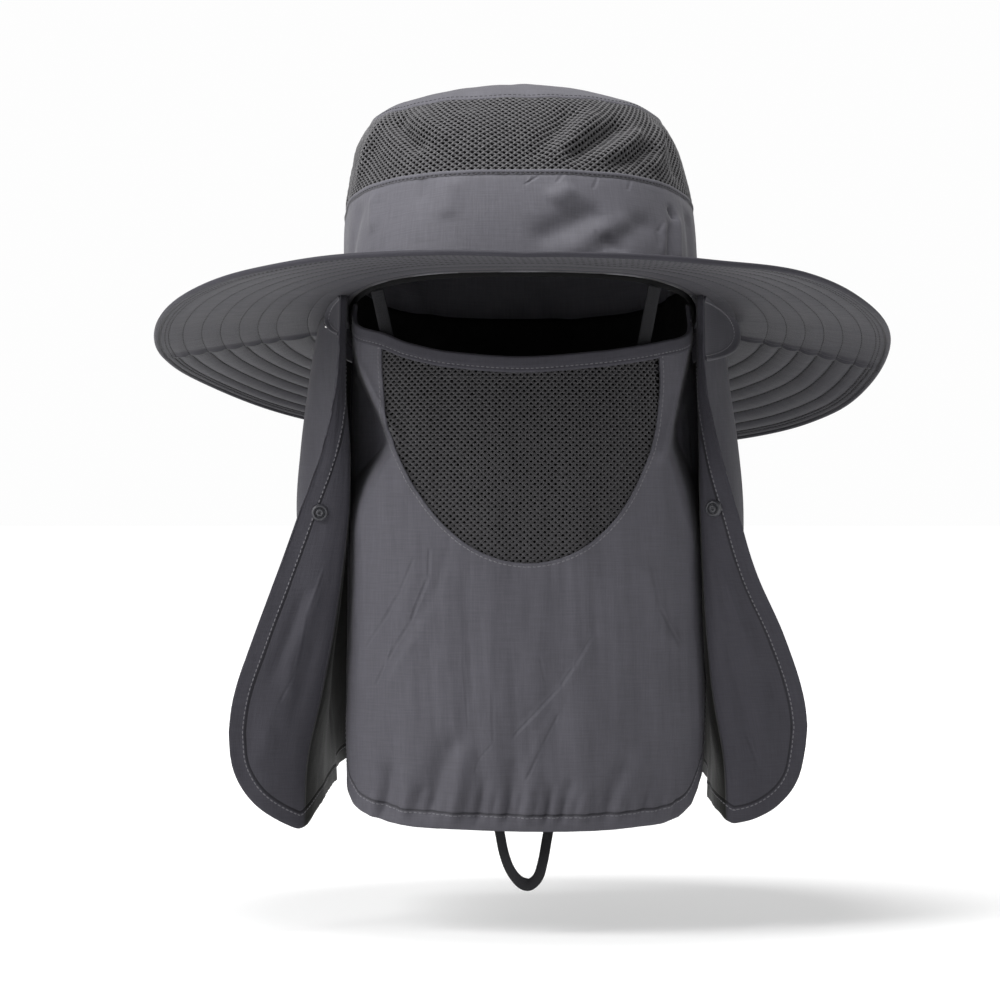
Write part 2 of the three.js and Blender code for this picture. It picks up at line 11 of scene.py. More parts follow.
import bpy
import numpy as np
from bpy.props import FloatProperty, FloatVectorProperty, PointerProperty
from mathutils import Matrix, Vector

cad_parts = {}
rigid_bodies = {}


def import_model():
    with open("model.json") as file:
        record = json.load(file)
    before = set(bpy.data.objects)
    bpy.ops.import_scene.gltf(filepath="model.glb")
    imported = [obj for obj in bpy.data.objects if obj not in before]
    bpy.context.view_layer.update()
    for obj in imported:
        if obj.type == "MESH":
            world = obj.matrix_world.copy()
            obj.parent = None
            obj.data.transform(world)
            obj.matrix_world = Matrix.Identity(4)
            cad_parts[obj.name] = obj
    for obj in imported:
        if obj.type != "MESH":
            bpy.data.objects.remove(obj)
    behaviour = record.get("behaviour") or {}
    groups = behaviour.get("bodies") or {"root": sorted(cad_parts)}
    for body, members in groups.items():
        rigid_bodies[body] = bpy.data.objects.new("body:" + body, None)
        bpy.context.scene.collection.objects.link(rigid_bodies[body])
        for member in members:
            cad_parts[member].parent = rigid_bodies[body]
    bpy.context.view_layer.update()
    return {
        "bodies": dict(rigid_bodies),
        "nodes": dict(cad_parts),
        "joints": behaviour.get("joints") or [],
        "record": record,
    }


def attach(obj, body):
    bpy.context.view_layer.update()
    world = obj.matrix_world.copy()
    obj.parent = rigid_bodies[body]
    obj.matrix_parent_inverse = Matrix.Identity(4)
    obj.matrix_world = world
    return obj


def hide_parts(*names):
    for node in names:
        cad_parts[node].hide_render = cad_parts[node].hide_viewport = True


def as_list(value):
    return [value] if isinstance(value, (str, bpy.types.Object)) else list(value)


bl_info = {
    "name": "Bucket hat with neck flap",
    "version": (1, 0, 0),
    "blender": (4, 5, 0),
    "location": "View3D > Sidebar > Bucket hat",
    "description": "Builds the cloth, net, stitches, snaps and strap of a sun hat over its frame",
    "category": "Add Mesh",
}

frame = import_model()

MM = 0.001
BODY = "root"


def table(names, rows):
    """A short table as one array for each named column."""
    return dict(zip(names.split(), np.array(rows, float).T))


def ramp(value, start, end):
    """0 up to `start` and 1 from `end` on, with an even rise between. `start` may be the larger."""
    return np.clip((value - start) / (end - start), 0, 1)


def bell(value, width):
    """1 at zero, falling off to both sides: the exponential of minus the squared share of `width`."""
    return np.exp(-((value / width) ** 2))


def unit(vectors):
    """Vectors, or rows of them, brought to a length of one."""
    return vectors / np.maximum(np.linalg.norm(vectors, axis=-1, keepdims=True), 1e-12)


# The hat's leaning part. The crown's sections run from the foot to the top.
LEAN = np.radians(11.5)
CROWN = table("rise half_width front back square front_dip shift", [
    (-2, 85.9, 103, 104, 3.0, 0, 0),
    (25, 85.9, 101, 103, 2.7, 0, -0.6),
    (54, 84.8, 97, 100, 2.4, 4, -1.3),
    (70, 82, 93, 96, 2.4, 5, -1.8),
    (86, 78.2, 87, 90, 2.3, 7, -2.8),
    (100, 69, 76, 79, 2.2, 7.5, -2.8),
    (107.4, 52, 58, 60, 2.1, 4, -2),
    (112.2, 28, 33, 35, 2.1, 1, -1),
    (113.0, 0.01, 0.01, 0.01, 2, 0, 0),
])
CROWN["girth"] = np.append(0, np.cumsum(np.hypot(np.diff(CROWN["rise"]), np.diff(CROWN["half_width"]))))
BAND_TOP = CROWN["girth"][2]
NET_TOP = CROWN["girth"][5]
CROWN_TOP = CROWN["girth"][-1]

# How far the top panel's edge lies below the net's even top, where its seam was eased in
TOP_EDGE = table("bearing lower", [
    (0, 0),
    (20, -0.4),
    (38, 1),
    (55, 4),
    (72, 5),
    (100, 3),
    (140, 1),
    (180, 2),
    (230, 1),
    (270, 3.4),
    (296, 5),
    (318, 5),
    (334, 2.4),
    (348, 0.6),
    (360, 0),
])

# The brim: half its width and length, and how far its edge lies below the head opening
BRIM_HALF_WIDTH = 179.5
BRIM_HALF_LENGTH = 197
BRIM_BEND = 1.2
BRIM_SEAM = 8
BRIM_HALF_THICKNESS = 1.0
# A distance far from any painted shade on the brim
NO_SHADE_LINE = 9
BRIM_DROP = table("bearing drop", [
    (0, 18.2),
    (26, 15.5),
    (43, 11.5),
    (60, 12.5),
    (90, 15),
    (118, 24.5),
    (142, 25),
    (180, 19),
    (220, 13.5),
    (243, 10.2),
    (270, 11.5),
    (300, 10),
    (329, 12.5),
    (360, 18.2),
])

# The mask's sections by height, and its top and bottom edges by bearing
MASK = table("height left right front edge", [
    (-245, 83.5, 86, 93, 46),
    (-190, 84.6, 87, 95, 46),
    (-120, 83, 85.5, 97, 47),
    (-30, 82, 82.6, 99, 50),
    (10, 79.6, 78.4, 98, 52),
])
MASK_SQUARE = 2.3
MASK_EDGE = table("bearing top bottom", [
    (-90, 7.9, -206),
    (-84, 0, -218.5),
    (-76, -4, -230.5),
    (-65, -7.2, -236.3),
    (-54, -12.3, -239),
    (-37, -16.6, -240),
    (0, -19, -241),
    (37, -16.5, -240.8),
    (54, -13.7, -239.3),
    (65, -11, -237),
    (76, -8, -228.5),
    (84, -3, -214),
    (90, 7.6, -204),
])
MASK_BAND = 7.4
WINDOW = {"half_width": 67.2, "middle": -1, "level": -14, "bottom": -115.5, "square": 2.05, "lean": 3.5}

# Where the cloth beside the window's two upper corners is drawn back, by height
TUCK = table("height left right", [
    (-140, -98, 96),
    (-118, -87, 86),
    (-98, -77, 77),
    (-78, -68, 71),
    (-60, -59, 67),
    (-48, -64, 69.5),
    (-25, -75, 75),
    (-9, -80, 79),
    (12, -85, 83),
])

# The neck flap's sections by height: its front edge, the fold where the front turns out, its
# widest place and the turn towards the back, each as a distance out and a place along Y
FLAP_COLUMNS = "height edge edge_y fold fold_y side side_y turn turn_y"
FLAP_LEFT = table(FLAP_COLUMNS, [
    (-245, 140.3, -77, 105, -64, 91, 0, 87, 88),
    (-210, 139.3, -78, 103.3, -65, 93, 0, 86, 86),
    (-180, 136.6, -78, 96.8, -66, 96, 0, 84, 84),
    (-150, 126.8, -77, 91, -68, 101, 0, 82, 82),
    (-120, 115.8, -75, 86.3, -69, 107, 0, 80, 80),
    (-90, 105, -74, 83, -69, 110, 0, 80, 78),
    (-60, 94.3, -74, 82.6, -68, 108, -2, 79, 78),
    (-30, 88.3, -71, 84.4, -65, 104, -2, 78.4, 83),
    (12, 86.4, -62.5, 84, -60, 97, -2, 75, 83.5),
])
FLAP_RIGHT = table(FLAP_COLUMNS, [
    (-245, 136.5, -56, 98, -64, 91, 0, 87, 88),
    (-210, 136, -58, 96.5, -65, 93, 0, 86, 86),
    (-180, 133.5, -62, 91.3, -66, 96, 0, 84, 84),
    (-150, 123.7, -67, 88, -68, 101, 0, 82, 82),
    (-120, 110.3, -71, 86, -69, 107, 0, 80, 80),
    (-90, 101, -74, 84.6, -69, 108, 0, 80, 78),
    (-60, 92.5, -74, 84, -68, 105, -2, 78, 78),
    (-30, 86.3, -71, 83.2, -65, 101, -2, 78, 83),
    (12, 85.6, -62.5, 83.2, -60, 97, -2, 75, 83.5),
])
FLAP_BACK = table("height reach", [(-245, 110), (-130, 105), (-60, 107), (-10, 111)])

# The flap's hem by the station along it: 0 the left front edge, 1 the left fold, 2 the left side,
# 3 the left turn, 4 the back, and so on to 8, the right front edge
FLAP_HEM = table("station height", [
    (0, -196),
    (0.04, -208),
    (0.14, -218.3),
    (0.32, -228.3),
    (0.56, -235.6),
    (0.9, -241.5),
    (1.03, -241),
    (1.15, -237.3),
    (1.3, -232.6),
    (1.6, -227.3),
    (2, -224),
    (2.5, -224),
    (3, -217),
    (4, -215),
    (5, -222),
    (5.5, -229),
    (6, -232),
    (6.6, -232),
    (6.85, -235),
    (6.97, -238),
    (7.1, -239.2),
    (7.44, -236),
    (7.7, -228.5),
    (7.88, -217.5),
    (7.96, -205),
    (8, -194),
])

# The chin strap's route, from the left side of the crown's foot down behind the mask and up again
STRAP = table("x z forward", [
    (-68.6, 12.6, 78.4),
    (-61.4, -20, 77),
    (-54.2, -52, 77),
    (-46.8, -84, 77),
    (-39.4, -116, 77),
    (-32, -148, 78),
    (-24.6, -181, 78),
    (-17.4, -213, 79),
    (-11, -242, 79),
    (-9, -252, 79),
    (-6, -260, 79),
    (-1.5, -265.6, 79),
    (3, -267, 79),
    (7, -263.6, 79),
    (9.4, -256, 79),
    (11.2, -246, 79),
    (17, -215, 79),
    (24.2, -180, 79),
    (31.6, -144, 79),
    (39, -108, 79.5),
    (46, -70, 80),
    (52.4, -36, 81),
    (57.6, -8, 83),
    (61.8, 14.2, 86.2),
])

# Creases and soft folds, each a line between two places with its half width and depth. A positive
# depth pushes the cloth out and a negative one pulls it in. Mask places are x and z.
MASK_FOLDS = table("p0 q0 p1 q1 width depth", [
    (31, -150, 18, -170, 1.6, -0.61),
    (18, -170, -4, -193, 1.6, -0.68),
    (33, -152, 20, -172, 2.4, 0.54),
    (20, -172, -2, -195, 2.4, 0.54),
    (18, -179, 10, -194, 1.8, 0.54),
    (10, -194, 1, -214, 1.8, 0.54),
    (-36, -109, -40, -127, 3, -0.68),
    (-40, -127, -55, -150, 3, -0.68),
    (-55, -150, -64, -171, 2, -0.61),
    (-50, -120, -60, -147, 3, 0.68),
    (-49, -150, -63, -170, 1.6, 0.54),
    (-60, -135, -72, -190, 6, -1.22),
    (-25, -158, -25, -182, 1.5, -0.34),
    (-13.6, -176, -13, -198, 1.5, -0.34),
    (4, -118, 3, -150, 5, -0.68),
    (22, -118, 21, -140, 5, -0.68),
    (38, -118, 37, -152, 6, 0.68),
    (55, -115, 65, -147, 5, 0.94),
    (65, -147, 75, -156, 4, 0.81),
    (60, -112, 70, -150, 4, -0.68),
    (-79, -22, -60, -58, 3.2, 2.7),
    (-60, -58, -53, -84, 3.5, 1.62),
    (78, -37, 62, -68, 3.2, 2.43),
    (-64, -210, -66, -236, 3.5, -2.03),
    (-56, -212, -58, -236, 3.5, 1.35),
    (-49, -220, -51, -237, 2.5, -1.62),
    (-33, -196, -46, -234, 6, -2.7),
    (-26, -200, -36, -236, 5, 1.89),
    (-18, -216, -22, -237, 3, -1.35),
    (-4, -205, -8, -237, 3.5, -1.76),
    (5, -214, 1, -237, 3.5, 1.35),
    (14, -218, 10, -237, 2.6, -1.35),
    (24, -216, 19, -237, 3, -1.49),
    (50, -206, 36, -236, 4, -1.76),
    (58, -200, 46, -234, 4, 1.49),
    (68, -196, 58, -232, 4, -1.22),
])
# Crown places are a bearing and a distance up its side
BAND_FOLDS = table("p0 q0 p1 q1 width depth", [
    (-60, 16, -54, 48, 6, -1.6),
    (-46, 50, -44, 30, 3, 1.33),
    (-28, 55, -27, 41, 2, -1.33),
    (-19, 52, -20, 30, 5, 1.33),
    (21, 34, 3.6, 17, 6, -2.4),
    (30, 30, 12, 10, 5, 1.5),
    (36, 32, 18, 13, 5, -1.8),
    (27, 13, 21, 20, 2.2, -1.3),
    (14, 46, 8, 38, 5, 1.9),
    (46, 44, 48, 37, 2, -2.09),
    (42, 34, 39, 15, 1.4, 1.6),
    (45, 34, 42, 14, 1.6, -1.6),
    (50, 40, 46, 14, 2.5, 1.9),
    (60, 46, 57, 16, 6, -1.9),
    (120, 46, 128, 14, 6, -1.9),
    (165, 20, 172, 50, 7, 1.6),
    (205, 16, 214, 46, 6, -1.9),
    (250, 18, 244, 48, 6, 1.6),
])
NET_FOLDS = table("p0 q0 p1 q1 width depth", [
    (-60, 62, -50, 98, 5, 2.4),
    (-43.4, 94, -29, 70, 4.5, -3.6),
    (-34, 96, -20, 74, 5, 1.8),
    (-54, 80, -46, 60, 5, -1.5),
    (-14, 96, -10, 66, 8, 1.4),
    (19, 97, 3, 62, 5, -2.5),
    (26, 94, 8, 62, 5, 2.4),
    (36, 90, 13, 62, 4.5, -4.2),
    (41, 84, 21, 61, 4, 3),
    (46, 76, 26, 60, 4, -3.3),
    (54, 90, 40, 62, 6, 2.7),
    (62, 92, 56, 62, 6, -1.8),
    (100, 60, 110, 96, 7, 1.8),
    (140, 62, 150, 92, 7, -1.8),
    (188, 60, 180, 96, 7, 1.8),
    (228, 64, 238, 96, 7, -1.8),
    (268, 60, 260, 94, 7, 1.8),
])
# Flap places are a station and a height
FLAP_FOLDS = table("p0 q0 p1 q1 width depth", [
    (0.62, -128, 0.5, -165, 4, 1.3),
    (0.5, -165, 0.62, -180, 3.5, 1.2),
    (0.44, -130, 0.36, -172, 4, -1.2),
    (0.75, -150, 0.7, -190, 5, -1.0),
    (0.5, -195, 0.3, -212, 6, 0.8),
    (7.45, -120, 7.6, -165, 5, 1.2),
    (7.3, -150, 7.4, -200, 5, -1.2),
    (7.62, -175, 7.5, -212, 5, 1.0),
    (7.2, -110, 7.25, -150, 5, 0.8),
    (1.6, -40, 1.7, -200, 9, 0.8),
    (2.3, -40, 2.4, -205, 9, -0.9),
    (3.2, -40, 3.0, -200, 9, 1.6),
    (3.7, -60, 3.8, -205, 9, -1.4),
    (4.3, -60, 4.2, -205, 9, 1.4),
    (4.9, -40, 5.0, -205, 9, -1.6),
    (5.6, -40, 5.5, -205, 9, 1.6),
    (6.4, -40, 6.3, -205, 9, -1.4),
])

# Sharp creases, finer than the meshes, in millimetres on the flat cloth: along and up the mask,
# round and up the crown, and along and up the flap, at 60 mm to a station
MASK_CREASES = table("p0 q0 p1 q1 width depth", [
    (33, -149, 24, -164, 0.9, -0.3),
    (24, -164, 18, -173, 0.8, -0.45),
    (18, -173, -6, -198, 0.8, -0.45),
    (17.5, -185, 9, -201, 0.9, -0.4),
    (9, -201, 1, -218, 0.9, -0.4),
    (-44, -108, -44.5, -122, 0.9, -0.5),
    (-44.5, -122, -54, -144, 1.0, -0.55),
    (-54, -144, -67, -162, 1.0, -0.45),
    (-67, -162, -74, -174, 0.9, -0.4),
    (-51, -112, -59, -130, 1.0, -0.35),
    (-59, -130, -71, -146, 1.0, -0.4),
    (-71, -146, -79, -156, 0.9, -0.35),
    (-63, -150, -69, -168, 0.8, 0.3),
    (-28, -159, -26, -196, 0.9, -0.22),
    (-14.5, -174, -14, -201, 0.9, -0.22),
    (-14.5, -200, -22, -208, 0.8, -0.22),
    (-22, -208, -23.5, -214, 0.8, -0.22),
    (8, -159, 10, -170, 0.9, -0.2),
    (61, -116, 65, -136, 1.2, -0.3),
    (65, -136, 78, -155, 1.2, -0.35),
    (57, -175, 58, -192, 1.0, -0.18),
    (48, -181, 46, -192, 1.0, -0.15),
    (36, -221, 30, -236, 1.4, -0.35),
    (44, -219, 36, -235, 1.4, -0.4),
])
BAND_CREASES = table("p0 q0 p1 q1 width depth", [
    (-17, 56, -21, 35, 0.9, -0.45),
    (-4.5, 42, -8.5, 35.5, 1.0, -0.65),
    (-9, 44, -6, 38, 1.0, 0.33),
    (8, 53, 1.5, 47.5, 0.8, -0.45),
    (5, 54, 3, 49, 0.8, 0.33),
    (-44, 55, -42.5, 41, 0.9, -0.33),
    (-30, 55, -32, 47, 1.0, -0.39),
    (19, 55, 15, 48, 1.0, -0.39),
    (34, 54, 31, 46, 1.0, -0.39),
    (50, 54, 47, 47, 1.0, -0.39),
    (72, 44, 76, 37, 1.0, -0.52),
    (-62, 54, -60, 46, 1.0, -0.39),
    (30, 23, 34, 12, 1.0, -0.39),
    (60, 26, 66, 34, 1.2, -0.39),
])
FLAP_CREASES = table("p0 q0 p1 q1 width depth", [
    (58, -8, 60, -90, 0.9, 0.73),
    (60, -80, 60.5, -170, 0.9, 0.83),
    (60.5, -160, 61, -236, 0.9, 0.83),
    (422, -8, 420, -90, 0.9, 0.73),
    (420, -80, 419.5, -170, 0.9, 0.83),
    (419.5, -160, 419, -236, 0.9, 0.83),
    (1.4, -4, 1.4, -60, 0.7, 0.9),
    (1.4, -52, 1.4, -118, 0.7, 0.7),
    (38, -118, 33, -140, 1.6, 0.42),
    (33, -140, 35, -168, 1.4, 0.42),
    (35, -168, 30, -182, 1.2, -0.31),
    (446, -120, 452, -150, 1.6, 0.42),
    (440, -196, 447, -214, 1.4, -0.36),
])

# The snaps' stations and heights, and the tabs' stations with their radius and how far they stand off
LAPEL_SNAPS = {"left": (0.38, -92), "right": (7.43, -90)}
TABS = {
    "left": {"start": 1.04, "end": 1.5, "round": 9.5, "snap": 1.56, "flare": 0.5},
    "right": {"start": 6.9, "end": 6.1, "round": 15.5, "snap": 6.5, "flare": 4.5},
}
TAB_STANDOFF = 2.7
TAB_STEP = 0.004

# Profiles of the snaps: radius and height above the cloth
SNAP_PROFILE = [
    (0.001, 0), (4, 0), (4, 0.35), (3.88, 0.62), (3.52, 1.35), (3.2, 1.5), (2.8, 1.425), (2.56, 0.9),
    (2.4, 0.45), (2, 0.42), (1.84, 0.75), (1.68, 1.725), (1.44, 1.95), (0.96, 1.95), (0.72, 1.65),
    (0.48, 1.2), (0.001, 1.125),
]
CAP_PROFILE = [
    (0.001, 0), (3.6, 0), (3.6, 0.75), (3.348, 1.2), (2.7, 1.5), (2.16, 1.35), (1.8, 1.05), (0.001, 0.975),
]

# Radii that lay the crown, its lining and the brim out flat for their patterns, the length of a
# station of the flap, and that of the net round the crown
CROWN_RADIUS = 90
LINING_RADIUS = 84
BRIM_RADIUS = 150
FLAP_STATION = 60
NET_LENGTH = 560

# Sewing: how far cloth overlaps the net, how far in from an edge the stitches of each part run, and
# how far the lining lies inside the crown's outer face
BAND_OVERLAP = 0.9
TOP_OVERLAP = 0.8
NET_TUCK = 1.3
CROWN_STITCH = 1.1
MASK_STITCH = 6.6
WINDOW_STITCH = 1.7
BAND_STITCH = 5.7
FLAP_STITCH = 6.4
BRIM_STITCH = {"pitch": 3.0, "width": 0.8, "height": 0.35}
LINING_DEPTH = 2.6
WINDOW_OVERLAP = 1.5
BRIM_OVERLAP = 1.5

# Columns of the grids round the crown's cloth and its lining, and points of its rows of stitches
CROWN_COLUMNS = 361
LINING_COLUMNS = 241
CROWN_POINTS = 721


def linear(hex_colour):
    """An sRGB hex colour as linear red, green, blue and alpha."""
    value = np.array([int(hex_colour[i : i + 2], 16) for i in (1, 3, 5)]) / 255
    bright = ((value + 0.055) / 1.055) ** 2.4
    return (*np.where(value <= 0.04045, value / 12.92, bright).tolist(), 1.0)


def length_property(name, description, default):
    """A length, as a property."""
    return FloatProperty(name=name, description=description, default=default, unit="LENGTH")


def colour_property(name, description, default):
    """An sRGB hex colour, as a property."""
    value = linear(default)
    return FloatVectorProperty(name=name, description=description, default=value, size=4, subtype="COLOR")


class HatSizes(bpy.types.PropertyGroup):
    """Sizes of the cloth, net and sewing."""

    cloth: length_property("Cloth", "Thickness of the doubled cloth", 0.0011)
    row_spacing: length_property("Row spacing", "Between the rows sewn round the brim", 0.0091)
    stitch: length_property("Stitch", "Length of one stitch with its gap", 0.0023)
    net_pitch: length_property("Net pitch", "Between two holes of a row of the net", 0.0033)
    net_row: length_property("Net row", "Between two rows of holes", 0.0015)
    net_hole: length_property("Net hole", "Width of a hole of the net", 0.0014)
    strap_width: length_property("Strap width", "Width of the chin strap", 0.006)


class HatColours(bpy.types.PropertyGroup):
    """Colours of the cloth, net, thread and fittings."""

    # Painted light and shade: the crown, mask, flap and brim are one cloth, its colour made lighter on the
    # crown and darker on the flap and brim to stand in for how light falls on them
    crown: colour_property("Crown", "Woven cloth of the crown", "#545359")
    mask: colour_property("Mask", "Woven cloth of the mask", "#4b4a50")
    flap: colour_property("Flap", "Woven cloth of the neck flap", "#39383e")
    # Painted shade: a much darker copy of the flap's cloth for its inner face, which lies in shade
    back: colour_property("Flap inside", "Coated inner face of the flap", "#161614")
    brim: colour_property("Brim", "Quilted brim cloth", "#313036")
    net: colour_property("Crown net", "Knitted net of the crown", "#49484a")
    # Painted shade: the mask's net is a darker copy of the crown's net, for the brim's shadow over it
    window: colour_property("Mask net", "Knitted net of the mask", "#343335")
    thread: colour_property("Thread", "Thread of the mask and flap", "#59585d")
    dark: colour_property("Dark thread", "Thread of the crown and brim", "#1a191d")
    # Painted shade: the sweatband and lining are near-black, standing in for the shade inside the crown
    lining: colour_property("Lining", "Sweatband and lining", "#0d0d0e")
    # Partly painted shade: the webbing is darker than its lit loop, so that its ends inside the crown read as
    # shade
    webbing: colour_property("Webbing", "Chin strap", "#232325")
    snap: colour_property("Snap", "Moulded snap", "#39393d")
    metal: colour_property("Metal", "Plated snap", "#c9c8c6")


# Surfaces


def read(rows, along, wanted, at):
    """A column as a smooth curve of another: cubic pieces whose slope at each row is that of the
    line between the row's two neighbours."""
    x, y = rows[along], rows[wanted]
    count = np.arange(len(x))
    before, after = np.maximum(count - 1, 0), np.minimum(count + 1, len(x) - 1)
    slope = (y[after] - y[before]) / (x[after] - x[before])
    at = np.clip(at, x[0], x[-1])
    i = np.clip(np.searchsorted(x, at) - 1, 0, len(x) - 2)
    step = x[i + 1] - x[i]
    t = (at - x[i]) / step
    start = y[i] * (1 + 2 * t) + slope[i] * step * t
    end = y[i + 1] * (3 - 2 * t) - slope[i + 1] * step * (1 - t)
    return start * (1 - t) ** 2 + end * t**2


def oval_radius(bearing, half_width, half_length, square):
    """Distance from the middle to a rounded oval: the two axes' shares, each raised to `square`,
    add up to one."""
    across = np.abs(np.sin(np.radians(bearing))) / half_width
    along = np.abs(np.cos(np.radians(bearing))) / half_length
    return (across**square + along**square) ** (-1 / square)


def at_bearing(bearing, radius, z):
    """Points at a bearing, a distance out and a height."""
    turn = np.radians(bearing)
    return np.stack(np.broadcast_arrays(radius * np.sin(turn), -radius * np.cos(turn), z), -1)


def leaned(points):
    """Turns points about the X axis, so that the crown leans back."""
    x, y, z = np.moveaxis(points, -1, 0)
    cos, sin = np.cos(LEAN), np.sin(LEAN)
    return np.stack([x, y * cos + z * sin, z * cos - y * sin], -1)


def fold_relief(folds, p, q, p_scale=1.0):
    """Sum of the folds: each is a bell across its line, which fades towards its two ends. `p_scale`
    turns a step of p into millimetres."""
    relief = np.zeros(np.broadcast(p, q).shape)
    for p0, q0, p1, q1, width, depth in zip(*(folds[k] for k in "p0 q0 p1 q1 width depth".split())):
        run = np.array([(p1 - p0) * p_scale, q1 - q0])
        length = np.hypot(*run)
        away_p, away_q = (p - p0) * p_scale, q - q0
        along = (away_p * run[0] + away_q * run[1]) / length**2
        across = (away_p * run[1] - away_q * run[0]) / length
        fade = bell(np.maximum(np.abs(along - 0.5) - 0.35, 0), 0.1414)
        relief += depth * fade * bell(across, width)
    return relief


def ripples(p, q, seed, wavelength, stretch=1.0, waves=9):
    """Small uneven wrinkles from -1 to 1: a sum of plane waves in random directions, drawn out by
    `stretch` along q."""
    random = np.random.default_rng(seed)
    turn = random.uniform(0, np.pi, waves)
    pace = 2 * np.pi / (wavelength * random.uniform(0.6, 1.7, waves))
    phase = random.uniform(0, 2 * np.pi, waves)
    total = 0
    for t, k, f in zip(turn, pace, phase):
        total = total + np.sin(k * (np.cos(t) * p + np.sin(t) * q / stretch) + f)
    return total / waves * 1.6


def facing(surface, p, q, step=0.05):
    """Points of a surface and its unit normals, from the small steps along p and q."""
    along = surface(p + step, q) - surface(p - step, q)
    across = surface(p, q + step) - surface(p, q - step)
    return surface(p, q), unit(np.cross(along, across))


def along_path(points):
    """Distances along a line of points."""
    return np.append(0, np.cumsum(np.linalg.norm(np.diff(points, axis=0), axis=1)))


def on_path(values, length, place):
    """Columns of values, given at distances along a path, at other distances along it."""
    return np.stack([np.interp(place, length, column) for column in values.T], -1)


def even(path, count):
    """A path as evenly spaced points."""
    length = along_path(path)
    return on_path(path, length, np.linspace(0, length[-1], count))


def heading(path):
    """Unit vectors along a path."""
    return unit(np.gradient(path, axis=0))


def moved(surface, relief):
    """A surface whose points are pushed along its normal by the relief."""

    def result(p, q):
        points, normal = facing(surface, p, q)
        return points + normal * relief(p, q)[..., None]

    return result


def crown_base(bearing, girth):
    """The crown's outer face: a rounded oval whose half lengths, dip and slump follow its sections."""
    forward = np.cos(np.radians(bearing))
    value = {name: read(CROWN, "girth", name, girth) for name in CROWN if name != "girth"}
    half_width = np.maximum(value["half_width"], 0.005)
    half_length = np.maximum(np.where(forward > 0, value["front"], value["back"]), 0.005)
    radius = oval_radius(bearing, half_width, half_length, value["square"])
    dip = value["front_dip"] * np.maximum(forward, 0) ** 2
    points = at_bearing(bearing, radius, value["rise"] - dip)
    points[..., 0] += value["shift"]
    return leaned(points)


def crown_relief(bearing, girth):
    """The crown's folds: its table, fine wrinkles, and slack in the net between its two seams."""
    turn = (bearing + 180) % 360 - 180
    wide = np.where(turn < -90, turn + 360, turn)
    slack = np.sin(np.pi * ramp(girth, BAND_TOP, NET_TOP))
    relief = fold_relief(BAND_FOLDS, wide, girth, 1.6) * ramp(girth, BAND_TOP + 2, BAND_TOP - 6)
    relief += fold_relief(NET_FOLDS, wide, girth, 1.5) * slack**0.7
    across, back = CROWN_RADIUS * np.sin(np.radians(bearing)), CROWN_RADIUS * np.cos(np.radians(bearing))
    fine = 0.6 * ripples(across + 0.35 * girth, back + 0.35 * girth, 3, 26)
    fine = fine * (1 - 0.6 * ramp(girth, NET_TOP, NET_TOP + 10))
    return (relief + fine) * ramp(girth, 0, 12) * ramp(girth, CROWN_TOP, CROWN_TOP - 20)


crown = moved(crown_base, crown_relief)


def brim_reach(bearing):
    """Radii of the brim's inner and outer edge."""
    front = np.cos(np.radians(bearing)) > 0
    foot = np.where(front, CROWN["front"][0], CROWN["back"][0])
    inner = oval_radius(bearing, CROWN["half_width"][0], foot, CROWN["square"][0]) + 0.2
    return inner, oval_radius(bearing, BRIM_HALF_WIDTH, BRIM_HALF_LENGTH, 2)


def brim_height(bearing, out):
    """Height of the brim's underside before it leans: its drop, times a power of the share of its reach."""
    drop = read(BRIM_DROP, "bearing", "drop", bearing % 360)
    return -drop * np.maximum(out, 0) ** BRIM_BEND


def brim(bearing, inwards):
    """The brim's middle layer at a bearing and a distance in from its edge."""
    inner, outer = brim_reach(bearing)
    out = 1 - inwards / (outer - inner)
    lift = BRIM_HALF_THICKNESS + 0.25 * ripples(outer * np.radians(bearing), inwards, 11, 70)
    return leaned(at_bearing(bearing, inner + (outer - inner) * out, brim_height(bearing, out) + lift))


def under_brim(x, y):
    """Height of the brim's underside over a place, found by a few repeated guesses."""
    cos, sin = np.cos(LEAN), np.sin(LEAN)
    height = np.zeros(np.broadcast(x, y).shape)
    for _ in range(6):
        back = (y - height * sin) / cos
        bearing = np.degrees(np.arctan2(x, -back))
        inner, outer = brim_reach(bearing)
        height = brim_height(bearing, (np.hypot(x, back) - inner) / (outer - inner))
    return height * cos - (y - height * sin) / cos * sin


def mask_base(bearing, height):
    """The mask's middle layer: a C in plan, half a rounded oval for each side."""
    value = {name: read(MASK, "height", name, height) for name in MASK if name != "height"}
    half_width = np.where(bearing < 0, value["left"], value["right"])
    radius = oval_radius(bearing, half_width, value["front"] - value["edge"], MASK_SQUARE)
    points = at_bearing(bearing, radius, height)
    points[..., 1] -= value["edge"]
    return points


MASK_BEARINGS = np.linspace(-90, 90, 721)
MASK_LINE = mask_base(MASK_BEARINGS, np.full(721, -120.0))
MASK_ALONG = along_path(MASK_LINE)
MASK_ALONG -= MASK_ALONG[360]


def mask_edge(which, along):
    """Height of the mask's "top" or "bottom" edge at a distance along its cloth from the middle."""
    return read(MASK_EDGE, "bearing", which, np.interp(along, MASK_ALONG, MASK_BEARINGS))


def mask_flat(along, height):
    """The mask by the distance along its cloth from the middle, instead of a bearing."""
    ends = np.clip(along, MASK_ALONG[0], MASK_ALONG[-1])
    points = mask_base(np.interp(ends, MASK_ALONG, MASK_BEARINGS), height)
    points[..., 1] += np.abs(along - ends)
    return points


